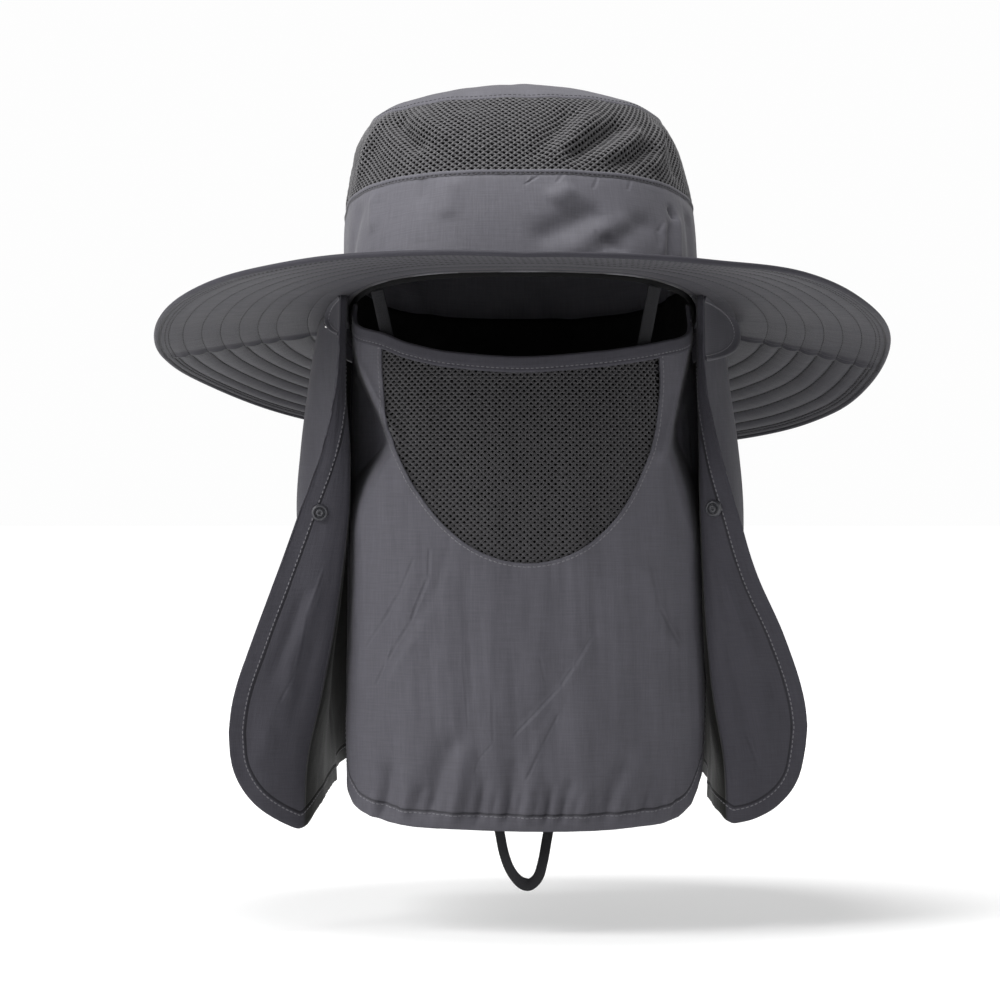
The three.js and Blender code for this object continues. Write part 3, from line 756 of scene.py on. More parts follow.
def mask_relief(along, height):
    """The mask's folds, gathers above its hem, and long upright waves that fade out at its edges."""
    across = np.interp(along, MASK_ALONG, MASK_LINE[:, 0])
    top, bottom = -12, -240
    hang = ramp(height, top, top - 40) * ramp(height, bottom, bottom + 6)
    lean = along - 0.25 * (height + 231)
    gathers = np.sin(lean * 2 * np.pi / 7.5 + 2 * np.sin(along / 17)) * bell(height + 229, 7)
    waves = ripples(along, height, 21, 24, 6) * 1.4 + ripples(along, height, 22, 9, 3) * 0.3
    folds = fold_relief(MASK_FOLDS, across, height) * ramp(height, bottom, bottom + 3)
    return folds + waves * hang + 0.8 * gathers * (np.abs(along) < 78)


def tucked(surface):
    """A surface of the mask, drawn back along Y beyond two lines: a soft step each."""

    def result(along, height):
        points = surface(along, height)
        x, z = points[..., 0], points[..., 2]
        soft = 4 + 18 * ramp(z, -50, -95)
        over = np.maximum(read(TUCK, "height", "left", z) - x, x - read(TUCK, "height", "right", z))
        step = ramp(over, 0, soft)
        drawn = np.stack([0 * x, 28 * step**2 * (3 - 2 * step), 0 * x], -1)
        return points + drawn

    return result


mask = tucked(moved(mask_flat, mask_relief))
mask_top = tucked(mask_flat)


def flap_base(station, height):
    """The flap's middle layer: at each height, a centripetal Catmull-Rom curve through its nine
    stations, so that each stretch's pace grows with the root of its length."""
    station, height = np.broadcast_arrays(station, height)

    def place(rows, side, name):
        x = side * read(rows, "height", name, height)
        return np.stack([x, read(rows, "height", name + "_y", height), height], -1)

    names = ["edge", "fold", "side", "turn"]
    back = np.stack([0 * height, read(FLAP_BACK, "height", "reach", height), height], -1)
    left = [place(FLAP_LEFT, -1, name) for name in names]
    right = [place(FLAP_RIGHT, 1, name) for name in names[::-1]]
    held = [*left, back, *right]
    held = np.stack([2 * held[0] - held[1], *held, 2 * held[-1] - held[-2]], -2)
    i = np.clip(np.floor(station).astype(int), 0, 7)
    t = (np.clip(station, 0, 8) - i)[..., None]
    p0, p1, p2, p3 = (np.take_along_axis(held, (i + k)[..., None, None], -2)[..., 0, :] for k in range(4))
    pairs = ((p0, p1), (p1, p2), (p2, p3))
    d0, d1, d2 = (np.sqrt(np.linalg.norm(b - a, axis=-1, keepdims=True)) for a, b in pairs)
    slope1 = d1 * ((p1 - p0) / d0 - (p2 - p0) / (d0 + d1) + (p2 - p1) / d1)
    slope2 = d1 * ((p2 - p1) / d1 - (p3 - p1) / (d1 + d2) + (p3 - p2) / d2)
    curve = p1 + slope1 * t + (3 * (p2 - p1) - 2 * slope1 - slope2) * t**2
    return curve + (2 * (p1 - p2) + slope1 + slope2) * t**3


def flap_relief(station, height):
    """The flap's folds and fine wrinkles, none of them at its top."""
    hang = ramp(height, -8, -48)
    fine = ripples(station * 55, height, 31, 26, 3) * 0.35 + ripples(station * 55, height, 32, 10, 2) * 0.08
    return (fold_relief(FLAP_FOLDS, station, height, 55) + fine) * hang


flap = moved(flap_base, flap_relief)


# Mesh makers


def add_object(name, points, faces, uv=None, attributes=None):
    """A smooth mesh object from points in millimetres and arrays of faces, with its material
    coordinates in metres."""
    mesh = bpy.data.meshes.new(name)
    sizes = np.concatenate([np.full(len(f), f.shape[1]) for f in faces])
    corners = np.concatenate([f.ravel() for f in faces])
    mesh.vertices.add(len(points))
    mesh.vertices.foreach_set("co", (points * MM).astype(np.float32).ravel())
    mesh.loops.add(len(corners))
    mesh.loops.foreach_set("vertex_index", corners.astype(np.int32))
    mesh.polygons.add(len(sizes))
    mesh.polygons.foreach_set("loop_start", (np.cumsum(sizes) - sizes).astype(np.int32))
    mesh.update(calc_edges=True)
    if uv is not None:
        layer = mesh.uv_layers.new(name="Cloth")
        layer.data.foreach_set("uv", (np.concatenate([u.reshape(-1, 2) for u in uv]) * MM).ravel())
    for key, values in (attributes or {}).items():
        mesh.attributes.new(key, "FLOAT", "POINT").data.foreach_set("value", values.astype(np.float32))
    mesh.shade_smooth()
    piece = bpy.data.objects.new(name, mesh)
    bpy.context.scene.collection.objects.link(piece)
    return piece


def volume(points, quads):
    """Six times the signed volume inside closed quads."""
    a, b, c, d = (points[quads[:, k]] for k in range(4))
    return np.sum(np.cross(a, b) * c) + np.sum(np.cross(a, c) * d)


def quads_of(index):
    """The quads between the neighbours of a grid of point numbers."""
    corners = [index[:-1, :-1], index[:-1, 1:], index[1:, 1:], index[1:, :-1]]
    return np.stack(corners, -1).reshape(-1, 4)


def strip_of(a, b):
    """The quads between two rows of point numbers."""
    return quads_of(np.stack([a, b]))


def add_wall(name, surface, p, q, out, inside, uv, ring=False, attributes=None):
    """A closed wall: an outer and an inner face at two distances from a middle layer along its
    normals, with a rim between them. A ring joins its last column to its first. An attribute is
    one array for both faces, or a pair."""
    points, normal = facing(surface, p, q)
    outer = points + normal * np.broadcast_to(out, p.shape)[..., None]
    inner = points - normal * np.broadcast_to(inside, p.shape)[..., None]
    if ring:
        outer, inner = outer[:, :-1], inner[:, :-1]
    rows, columns = outer.shape[:2]
    own = np.arange(rows * columns).reshape(rows, columns)
    if ring:
        own = np.hstack([own, own[:, :1]])
    label = np.arange(own.size).reshape(own.shape)
    far = label + own.size
    faces = [
        quads_of(label),
        quads_of(far)[:, ::-1],
        strip_of(far[0], label[0]),
        strip_of(label[-1], far[-1]),
    ]
    if not ring:
        faces += [strip_of(label[:, 0], far[:, 0]), strip_of(far[:, -1], label[:, -1])]
    faces = np.concatenate(faces)
    number = np.concatenate([own.ravel(), own.ravel() + rows * columns])
    solid = np.concatenate([outer.reshape(-1, 3), inner.reshape(-1, 3)])
    if volume(solid, number[faces]) < 0:
        faces = faces[:, ::-1]
    flat = np.stack(np.broadcast_arrays(*uv), -1).reshape(-1, 2)[faces % own.size]
    values = {}
    for key, value in (attributes or {}).items():
        pair = value if isinstance(value, tuple) else (value, value)
        values[key] = np.concatenate([np.broadcast_to(one, p.shape)[:, :columns].ravel() for one in pair])
    return add_object(name, solid, [number[faces]], [flat], values)


def add_net(name, surface, across, up, keep, pitch, hole, thickness, ring=0):
    """A knitted net of six-sided cells in staggered rows. Round each hole, six quads run from the
    crest of its strands down to its rim on each face, and a wall closes the net's outer edge.
    `across` and `up` turn a cell's place in millimetres into the surface's two values, and `ring`
    is the number of cells round a closed net."""
    random = np.random.default_rng(len(name))
    row, column = np.nonzero(keep)
    centre = np.stack([2 * column + row % 2, 3 * row], -1)
    crest = centre[:, None] + np.array([(0, 2), (1, 1), (1, -1), (0, -2), (-1, -1), (-1, 1)])
    if ring:
        crest[..., 0] %= 2 * ring
    crest, number = np.unique(crest.reshape(-1, 2), axis=0, return_inverse=True)
    number = number.reshape(-1, 6)
    cell = np.array([pitch[0] / 2, pitch[1] / 3])
    turn = np.radians([90, 30, -30, -90, -150, 150])
    size = hole / 2 * random.uniform(0.88, 1.1, (len(centre), 1, 1))
    rim = (centre * cell)[:, None] + np.stack([np.cos(turn), 0.9 * np.sin(turn)], -1) * size
    crest = crest * cell + random.uniform(-0.12, 0.12, crest.shape)
    place = np.concatenate([crest, crest, rim.reshape(-1, 2)])
    points, normal = facing(surface, across(place[:, 0]), up(place[:, 1]))
    half = thickness / 2 * random.uniform(0.7, 1.2, len(crest))
    height = np.concatenate([half, -half, np.zeros(rim.size // 2)])
    after = np.roll(np.arange(6), -1)
    holes = 2 * len(crest) + np.arange(number.size).reshape(-1, 6)
    outer = np.stack([number, holes, holes[:, after], number[:, after]], -1).reshape(-1, 4)
    inner = np.stack([number[:, after], holes[:, after], holes, number], -1).reshape(-1, 4)
    inner = np.where(inner < len(crest), inner + len(crest), inner)
    ends = np.stack([number, number[:, after]], -1).reshape(-1, 2)
    _, first, count = np.unique(np.sort(ends, axis=1), axis=0, return_index=True, return_counts=True)
    edge = ends[first[count == 1]]
    wall = np.stack([edge[:, 0], edge[:, 1], edge[:, 1] + len(crest), edge[:, 0] + len(crest)], -1)
    faces = np.concatenate([outer, inner, wall])
    return add_object(name, points + normal * height[:, None], [faces], [place[faces]])


def stitches(path, normal, pitch, width=0.6, height=0.3, lift=0.0):
    """One row of stitches along a path: low humps, four sections long and three points across."""
    length = along_path(path)
    count = max(int(length[-1] / pitch), 1)
    middle = (np.arange(count) + 0.5) * length[-1] / count
    half = 0.39 * pitch
    ahead = unit(on_path(path, length, middle + half) - on_path(path, length, middle - half))
    up = on_path(normal, length, middle)
    side = unit(np.cross(up, ahead))
    along = np.array([-1, -0.45, 0.45, 1]) * half
    spread = np.outer([0.55, 1, 1, 0.55], [-1, 0, 1]) * width / 2
    end, crest = [-0.4, 0, -0.4], [-0.1, 1, -0.1]
    hump = np.array([end, crest, crest, end]) * height
    centre = on_path(path, length, middle)
    points = (
        centre[:, None, None]
        + ahead[:, None, None] * along[None, :, None, None]
        + side[:, None, None] * spread[None, :, :, None]
        + up[:, None, None] * (hump + lift)[None, :, :, None]
    )
    one = quads_of(np.arange(12).reshape(4, 3))
    return points.reshape(-1, 3), (np.arange(count)[:, None, None] * 12 + one).reshape(-1, 4)


def add_stitches(name, rows):
    """Joins rows of stitches to one object."""
    starts = np.cumsum([0] + [len(points) for points, _ in rows])
    faces = [face + start for (_, face), start in zip(rows, starts)]
    return add_object(name, np.concatenate([points for points, _ in rows]), faces)


def row_on(surface, p, q, out, pitch, side=1, **look):
    """A row of stitches on one face of a cloth, `out` from its middle layer."""
    points, normal = facing(surface, p, q)
    return stitches(points + normal * out * side, normal * side, pitch, **look)


def lathe(profile, turns):
    """Points and quads of a profile of radii and heights, carried round an axis along Z."""
    radius, height = np.array(profile, float).T
    turn = np.linspace(0, 2 * np.pi, turns, endpoint=False)
    x, y = np.outer(radius, np.cos(turn)), np.outer(radius, np.sin(turn))
    points = np.stack([x, y, np.broadcast_to(height[:, None], x.shape)], -1)
    index = np.arange(x.size).reshape(x.shape)
    return points.reshape(-1, 3), quads_of(np.hstack([index, index[:, :1]]))


def set_on(points, place, axis):
    """Moves points so that their Z axis lies along `axis`, from `place`."""
    turn = Vector((0, 0, 1)).rotation_difference(Vector(axis)).to_matrix()
    return points @ np.array(turn).T + place


def distance_to(places, path):
    """Least distance from each place of a grid to the points of a path, some rows at a time."""
    parts = np.array_split(places.reshape(-1, 1, places.shape[-1]), 80)
    least = [np.min(np.linalg.norm(part - path, axis=-1), axis=1) for part in parts]
    return np.concatenate(least).reshape(places.shape[:-1])


def cloth_area(surface, p, q):
    """The area in square metres of a grid of places on a surface, which is that of its flat cloth."""
    points = surface(p, q)
    cells = np.cross(points[:-1, 1:] - points[:-1, :-1], points[1:, :-1] - points[:-1, :-1])
    return float(np.sum(np.linalg.norm(cells, axis=-1)) * MM * MM)


def inset(path, distance, side=1):
    """A path moved sideways by a distance on the flattened cloth."""
    ahead = heading(path)
    return path + side * distance * np.stack([-ahead[:, 1], ahead[:, 0]], -1)


# Materials


def node(tree, kind, inputs=None, **settings):
    """Adds a shader node, sets its properties, and sets or links its inputs by name or number."""
    made = tree.nodes.new("ShaderNode" + kind)
    for key, value in settings.items():
        setattr(made, key, value)
    for key, value in (inputs or {}).items():
        if isinstance(value, bpy.types.NodeSocket):
            tree.links.new(value, made.inputs[key])
        else:
            made.inputs[key].default_value = value
    return made


def new_material(name):
    """An empty material and its Principled shader."""
    material = bpy.data.materials.new(name)
    material.use_nodes = True
    tree = material.node_tree
    tree.nodes.clear()
    shader = node(tree, "BsdfPrincipled")
    node(tree, "OutputMaterial", {"Surface": shader.outputs["BSDF"]})
    return material, tree, shader


def maths(tree, operation, *values):
    """The output of a Math node."""
    return node(tree, "Math", dict(enumerate(values)), operation=operation).outputs[0]


def vector_maths(tree, operation, first, second, slot=1):
    """The output of a Vector Math node."""
    return node(tree, "VectorMath", {0: first, slot: second}, operation=operation).outputs[0]


def mapped(tree, value, low, high, start, end, how="SMOOTHSTEP"):
    """A value's step from `start` at `low` to `end` at `high`."""
    inputs = {0: value, 1: low, 2: high, 3: start, 4: end}
    return node(tree, "MapRange", inputs, interpolation_type=how).outputs[0]


def finish_shader(tree, shader, tint, height, distance, values):
    """Gives a Principled shader its colour, its bump and its constants."""
    bump = node(tree, "Bump", {"Strength": 1.0, "Distance": distance, "Height": height})
    tree.links.new(tint, shader.inputs["Base Color"])
    tree.links.new(bump.outputs[0], shader.inputs["Normal"])
    for name, value in values.items():
        shader.inputs[name].default_value = value


def streaks(tree, coordinates, along, across, detail=2.0):
    """Noise drawn out along the threads: its two sizes are in metres."""
    size = node(tree, "Mapping", {"Vector": coordinates, "Scale": (1 / along, 1 / across, 1 / across)})
    return node(tree, "TexNoise", {"Vector": size.outputs[0], "Scale": 1.0, "Detail": detail}).outputs["Fac"]


def creased(tree, place, height, creases):
    """Adds to a height the creases of a table: each is a bell across its line, which fades towards
    its two ends. A Mapping node turns the line into the X axis from 0 to 1."""
    for p0, q0, p1, q1, width, depth in zip(*(creases[k] for k in "p0 q0 p1 q1 width depth".split())):
        turn = np.arctan2(q1 - q0, p1 - p0)
        scale = (float(np.hypot(p1 - p0, q1 - q0) * MM), float(1.5 * width * MM), 1.0)
        frame = {0: place, 1: (p0 * MM, q0 * MM, 0.0), 2: (0.0, 0.0, float(turn)), 3: scale}
        local = node(tree, "SeparateXYZ", {0: node(tree, "Mapping", frame, vector_type="TEXTURE").outputs[0]})
        ridge = mapped(tree, maths(tree, "ABSOLUTE", local.outputs[1]), 0.0, 1.0, 0.75 * depth * MM, 0.0)
        from_middle = maths(tree, "ABSOLUTE", maths(tree, "SUBTRACT", local.outputs[0], 0.5))
        fade = mapped(tree, from_middle, 0.3, 0.56, 1.0, 0.0)
        height = maths(tree, "MULTIPLY_ADD", ridge, fade, height)
    return height


def woven_cloth(
    name, colour, line=None, fold=0.0, sheen=0.07, roughness=0.62, contrast=1.0, creases=None, back=None
):
    """Dense plain-woven polyester, peach-finished: matt and slightly silvery, with fine streaks of
    uneven thread both ways. The threads are drawn 0.6 mm apart, twice as coarse as the real ones,
    to show at all. The attribute "edge" is a distance in metres: at `line` the cloth sinks in a thin
    line, darkened there as painted shade, and up to `line` the cloth is a hem's double layer, `fold`
    thicker. `creases` is a table of sharp creases. `back` is the colour where the attribute "back" is
    one: painted shade on the flap's inner face."""
    material, tree, shader = new_material(name)
    place = node(tree, "TexCoord").outputs["UV"]
    lengthwise = streaks(tree, place, 0.0007, 0.014)
    crosswise = streaks(tree, place, 0.014, 0.0007)
    cloudy = streaks(tree, place, 0.035, 0.05, 4)
    threads = maths(tree, "ADD", lengthwise, crosswise)
    tone = maths(tree, "MULTIPLY_ADD", threads, 0.34 * contrast, 1.0 - 0.34 * contrast)
    tone = maths(tree, "MULTIPLY_ADD", cloudy, 0.3 * contrast, maths(tree, "SUBTRACT", tone, 0.15 * contrast))
    wrinkle = maths(tree, "MULTIPLY", streaks(tree, place, 0.006, 0.011, 3), 0.0003 * contrast)
    height = maths(tree, "MULTIPLY_ADD", threads, 0.00006, wrinkle)
    split = node(tree, "SeparateXYZ", {0: place})
    for axis in (0, 1):
        pace = maths(tree, "SINE", maths(tree, "MULTIPLY", split.outputs[axis], 2 * np.pi / 0.0006))
        height = maths(tree, "MULTIPLY_ADD", pace, 0.00001, height)
    if creases is not None:
        height = creased(tree, place, height, creases)
    if line is not None:
        edge = node(tree, "Attribute", attribute_name="edge").outputs["Fac"]
        away = maths(tree, "ABSOLUTE", maths(tree, "SUBTRACT", edge, line))
        groove_shade = mapped(tree, away, 0.0001, 0.0009, 1.0, 0.0)
        # Painted shade: the colour darkens along the sunk line
        tone = maths(tree, "MULTIPLY", tone, maths(tree, "MULTIPLY_ADD", groove_shade, -0.55, 1.0))
        height = maths(tree, "ADD", height, mapped(tree, edge, line, line + 0.0006, fold, 0.0, "LINEAR"))
        height = maths(tree, "MULTIPLY_ADD", groove_shade, -0.0003, height)
    tint = vector_maths(tree, "SCALE", tuple(colour)[:3], tone, "Scale")
    # Painted shade: where the attribute "back" is one, the colour turns to the much darker `back`
    if back is not None:
        share = node(tree, "Attribute", attribute_name="back").outputs["Fac"]
        ratio = tuple(b / c - 1 for b, c in zip(tuple(back)[:3], tuple(colour)[:3]))
        change = vector_maths(tree, "ADD", vector_maths(tree, "SCALE", ratio, share, "Scale"), (1, 1, 1))
        tint = vector_maths(tree, "MULTIPLY", tint, change)
    values = {"Roughness": roughness, "Sheen Weight": sheen, "Sheen Roughness": 0.4}
    finish_shader(tree, shader, tint, height, 1.0, {**values, "Specular IOR Level": 0.15})
    return material


def plain_material(name, colour, roughness, grain, depth, metallic=0.0, sheen=0.0, specular=0.5):
    """A surface with one colour, broken up by a grain of the given size and depth in metres."""
    material, tree, shader = new_material(name)
    noise = streaks(tree, node(tree, "TexCoord").outputs["Object"], grain, grain, 3)
    tone = maths(tree, "MULTIPLY_ADD", noise, 0.3, 0.85)
    tint = vector_maths(tree, "SCALE", tuple(colour)[:3], tone, "Scale")
    values = {"Roughness": roughness, "Metallic": metallic, "Sheen Weight": sheen}
    finish_shader(tree, shader, tint, noise, depth, {**values, "Specular IOR Level": specular})
    return material


def materials(context):
    """All of the hat's materials by key, made once. Each has the colour of its key, or one named."""
    colours = context.scene.hat_colours
    # The hems' stitched line lies 7.8 mm in from the edge, sunk and darkened there with painted shade, and a
    # hem is 0.5 mm thicker
    hem = {"line": 0.0078, "fold": 0.0005}
    yarn = {"roughness": 0.75, "grain": 0.0006, "depth": 0.0002, "specular": 0.2}
    spun = {"grain": 0.0005, "depth": 0.0001}
    makers = {
        # Peach-finished polyester: soft highlights along folds, fine streaks
        "crown": ("Crown polyester", woven_cloth, {"sheen": 0.14, "creases": BAND_CREASES}),
        "mask": ("Mask polyester", woven_cloth, {**hem, "creases": MASK_CREASES}),
        "flap": ("Flap polyester", woven_cloth, {**hem, "creases": FLAP_CREASES, "back": colours.back}),
        "trim": ("Trim polyester", woven_cloth, {"colour": colours.flap}),
        "brim": ("Quilted polyester", woven_cloth, {"line": 0.0, "sheen": 0.08, "contrast": 0.8}),
        # Brushed tricot: darker, as painted shade for the inside of the crown; no gloss, no pattern of its
        # own
        "lining": ("Brushed tricot", woven_cloth, {"sheen": 0.0, "roughness": 0.85}),
        # Knitted polyester yarn: fuzzy, so sheen along the strands
        "net": ("Knitted net", plain_material, {**yarn, "sheen": 0.2}),
        # The mask's net: the same yarn, darker as painted shade for the brim's shadow
        "window": ("Mask net", plain_material, {**yarn, "sheen": 0.1}),
        # Spun thread: a little glossier than the cloth
        "thread": ("Spun thread", plain_material, {**spun, "roughness": 0.55, "sheen": 0.1}),
        "dark": ("Dark thread", plain_material, {**spun, "roughness": 0.6, "specular": 0.3}),
        # Moulded acetal: smooth, low gloss
        "snap": ("Moulded acetal", plain_material, {
            "roughness": 0.38, "grain": 0.001, "depth": 0.00003, "specular": 0.45,
        }),
        # Nickel-plated brass: bright, with fine scuffs
        "metal": ("Plated brass", plain_material, {
            "roughness": 0.22, "grain": 0.0008, "depth": 0.00002, "metallic": 1.0,
        }),
        # Narrow woven tape: ribs across its length come from its own mesh
        "webbing": ("Webbing", plain_material, {**yarn, "roughness": 0.8, "specular": 0.15}),
    }
    return {
        key: bpy.data.materials.get(name) or make(name, **{"colour": getattr(colours, key, None), **look})
        for key, (name, make, look) in makers.items()
    }


def finish_piece(piece, material, replaces=()):
    """Gives a piece its material, its body, and the nodes that it stands for."""
    piece.data.materials.append(material)
    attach(piece, BODY)
    if replaces:
        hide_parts(*replaces)
    return piece


def grid(p, q):
    """Two lists of values as a grid, p along its columns and q along its rows."""
    return np.meshgrid(np.asarray(p, float), np.asarray(q, float))


# Crown


def edge_profile(place, low, high, rounding, thickness):
    """Half thickness that rounds off like a quarter circle towards both ends of a strip."""
    near = ramp(np.minimum(place - low, high - place), 0, rounding)
    return thickness * np.sqrt(np.maximum(1 - (1 - near) ** 2, 0.02))


def top_overlap(bearing, girth):
    """How far the top panel's uneven edge reaches down over the net. It fades out up the crown."""
    return read(TOP_EDGE, "bearing", "lower", bearing % 360) * ramp(girth, NET_TOP + 12, NET_TOP)


def build_band(sizes, paint):
    """The woven band, folded in at its top edge over the net."""
    top = BAND_TOP + BAND_OVERLAP
    close = BAND_TOP - 3
    rows = np.concatenate([np.linspace(1.9, close, 26), close + 3.9 * np.linspace(0.15, 1, 9) ** 0.8])
    bearing, girth = grid(np.linspace(0, 360, CROWN_COLUMNS), rows)
    edge = top - girth
    fold = 0.45 * np.clip(1 - np.abs(edge - 1.1) / 1.1, 0, 1) ** 0.5 - 0.25 * bell(edge - 3.0, 0.7)
    uv = (np.radians(bearing) * CROWN_RADIUS, girth)
    band = add_wall("crown_band_cloth", crown, bearing, girth, 0.35 + fold, sizes.cloth / MM, uv, ring=True)
    finish_piece(band, paint["crown"], ["crown_band"])


def build_top(sizes, paint):
    """The domed top panel, whose edge is a thicker lip that overlaps the net unevenly."""
    low = NET_TOP - TOP_OVERLAP
    rows = low + (CROWN_TOP - low) * np.linspace(0, 1, 46)
    rows = np.sort(np.append(rows[:-1], [NET_TOP - 0.5, NET_TOP - 0.1, NET_TOP + 0.4, CROWN_TOP - 0.4]))
    bearing, girth = grid(np.linspace(0, 360, CROWN_COLUMNS), rows)
    thinner = 1 - 0.75 * ramp(girth, NET_TOP + 3, NET_TOP + 9)
    lip = edge_profile(girth, low, CROWN_TOP * 2, 1.3, 0.8) * thinner
    girth = girth - top_overlap(bearing, girth)
    uv = np.moveaxis(crown_base(bearing, girth)[..., :2], -1, 0)
    top = add_wall("crown_top_cloth", crown, bearing, girth, lip, sizes.cloth / MM * 0.8, uv, ring=True)
    finish_piece(top, paint["crown"], ["crown_top"])
    close_pole(top)


def build_crown_net(sizes, paint):
    """The ring of net, tucked under the cloth above and below it."""
    cells = round(NET_LENGTH / (1.05 * sizes.net_pitch / MM))
    height = NET_TOP - BAND_TOP + 2 * NET_TUCK
    count = round(height / (sizes.net_row / MM))
    net = add_net(
        "crown_net",
        crown,
        lambda place: place / NET_LENGTH * 360,
        lambda place: BAND_TOP - NET_TUCK + place,
        np.ones((count, cells), bool),
        (NET_LENGTH / cells, height / count),
        sizes.net_hole / MM * 1.1,
        0.9,
        ring=cells,
    )
    finish_piece(net, paint["net"], ["crown_mesh"])


def crown_lining(bearing, girth):
    """The layer of the lining, inside the crown's outer face."""
    points, normal = facing(crown, bearing, girth)
    return points - normal * LINING_DEPTH


def build_crown(context):
    """The crown's band, top panel, net, a dark sheet behind the net as painted shade, sweatband and
    two rows of stitches.
    """
    sizes, paint = context.scene.hat_sizes, materials(context)
    build_band(sizes, paint)
    build_top(sizes, paint)
    build_crown_net(sizes, paint)

    # A dark sheet behind the net, painted shade for the inside of the crown: it shows only as the dark of its
    # holes
    bearing, girth = grid(np.linspace(0, 360, LINING_COLUMNS), np.linspace(BAND_TOP - 1, NET_TOP + 0.5, 36))
    uv = (np.radians(bearing) * LINING_RADIUS, girth)
    backing = add_wall("crown_net_backing", crown_lining, bearing, girth, -0.9, 1.2, uv, ring=True)
    finish_piece(backing, paint["lining"])

    bearing, girth = grid(np.linspace(0, 360, LINING_COLUMNS), np.linspace(0.2, 30, 14))
    soft = edge_profile(girth, 0, 30.2, 1.5, 0.8)
    uv = (np.radians(bearing) * LINING_RADIUS, girth)
    band = add_wall("sweatband_cloth", crown_lining, bearing, girth, soft, soft, uv, ring=True)
    finish_piece(band, paint["lining"], ["sweatband"])

    pitch = sizes.stitch / MM
    bearing = np.linspace(0, 360, CROWN_POINTS)
    rows = [
        row_on(crown, bearing, np.full(CROWN_POINTS, BAND_TOP - CROWN_STITCH), 0.36, pitch),
        row_on(crown, bearing, NET_TOP + CROWN_STITCH - top_overlap(bearing, NET_TOP), 0.8, pitch),
    ]
    finish_piece(add_stitches("crown_stitches", rows), paint["dark"])


def close_pole(piece):
    """Joins the last row's points at the middle of the crown, on each face of the wall."""
    modifier = piece.modifiers.new("Close", "WELD")
    modifier.merge_threshold = 0.00002


# Brim


def under_seam(from_seam, edge, nearest):
    """How far the front half's underside stands proud beside its end seams, where its layers meet."""
    ridge = np.clip(1 - from_seam / 8, 0, 1) ** 1.3 * np.clip(from_seam / 0.7, 0.3, 1) ** 0.5
    return ridge * (1.0 + 0.8 * ramp(nearest, 0, 3)) * ramp(edge, 0, 7)


def brim_half(name, start, end, puff, rows, spacing, material):
    """One half of the brim between two bearings: a rolled rim, and a quilt that puffs up between the
    rows sewn round it, with thin painted shade along the rows, the rim, the seams and the inner edge."""
    front = "front" in name
    between = (rows[2:, None] + spacing * np.array([-0.75, -0.5, -0.25])).ravel()
    rim = [0, 0.15, 0.45, 0.9, 1.35, 1.8, 2.2, 2.6, 3.1, 3.8]
    places = np.sort(np.concatenate([rim, rows, rows - 0.6, rows + 0.6, between, [rows[-1] + 2.5]]))
    # Columns close together at the two ends: distances in millimetres, as degrees
    ends = np.degrees(np.array([0.15, 0.35, 0.7, 1.3, 2.1, 3.1, 4.2, 5.4, 6.6, 7.8, 9.2]) / 170)
    bearings = np.concatenate([start + ends, np.linspace(start + 3.6, end - 3.6, 250), (end - ends)[::-1]])
    inner, outer = brim_reach(bearings)
    reach = outer - inner + BRIM_OVERLAP
    edge = places[:, None]
    # The outermost 60 mm keep their distances, and the rest stretches to the crown
    inwards = np.where(edge < 60, edge, 60 + (edge - 60) * (reach - 60) / (places[-1] - 60))
    bearing = np.broadcast_to(bearings, inwards.shape)
    nearest = np.min(np.abs(edge[..., None] - rows), axis=-1)
    quilt = puff * (1 - bell(nearest, 2.6) - bell(nearest, 0.7))
    roll = 1.35 * np.sqrt(np.clip(1 - ((edge - 1.25) / 1.27) ** 2, 0.0004, 1))
    half = np.where(edge < 2.3, roll, 0.7 + 0.35 * ramp(edge, 2.7, 5.1) + quilt * (edge > 4.2))
    from_seam = np.radians(np.minimum(bearing - start, end - bearing)) * outer
    half = half * np.sqrt(np.clip(from_seam / 0.7, 0.15, 1))
    under = half + under_seam(from_seam, edge, nearest) if front else half

    right = (bearing > 0) & (bearing < 90 + BRIM_SEAM)
    seams = np.minimum(0.6 * from_seam - 0.2, np.where(right, np.abs(from_seam - 4.2) + 0.3, NO_SHADE_LINE))
    # Painted shade: thin dark bands along the rows, 2.8 mm in from the rim, at the end seams and at the inner
    # edge
    shade_lines = [
        nearest + (0.45 if front else 0.2),
        np.abs(edge - 2.8),
        np.where(edge > 5, seams, NO_SHADE_LINE),
        0.5 * (reach - inwards),
    ]
    line = np.min(np.broadcast_arrays(*shade_lines), axis=0) * MM
    uv = (np.radians(bearing) * BRIM_RADIUS, inwards)
    piece = add_wall(f"{name}_cloth", brim, bearing, inwards, half, under, uv, attributes={"edge": line})
    finish_piece(piece, material, [name])


def build_brim(context):
    """The brim's two quilted halves, and the rows of stitches on both of their faces."""
    sizes, paint = context.scene.hat_sizes, materials(context)
    spacing = sizes.row_spacing / MM
    # A close pair of rows at the edge, then even ones
    rows = np.concatenate([[5.2, 7.0], 13.9 + spacing * np.arange(8)])
    seam = 90 + BRIM_SEAM
    brim_half("brim_front", -seam, seam, 0.18, rows, spacing, paint["brim"])
    brim_half("brim_back", seam, 360 - seam, 0.6, rows, spacing, paint["brim"])
    sewn = []
    bearing = np.linspace(-seam, 360 - seam, 1081)
    from_seam = np.minimum(np.abs(bearing + seam), np.abs(bearing - seam))
    ridge = np.clip(1 - from_seam * 3 / 8, 0, 1) ** 1.3 * (np.abs(bearing) < seam)
    for row in rows:
        for side, level in ((1, 0.82 + 0 * ridge), (-1, 0.82 + ridge)):
            place = np.full(bearing.shape, row)
            sewn.append(row_on(brim, bearing, place, level[:, None], side=side, **BRIM_STITCH))
    finish_piece(add_stitches("brim_stitches", sewn), paint["dark"])


# Mask


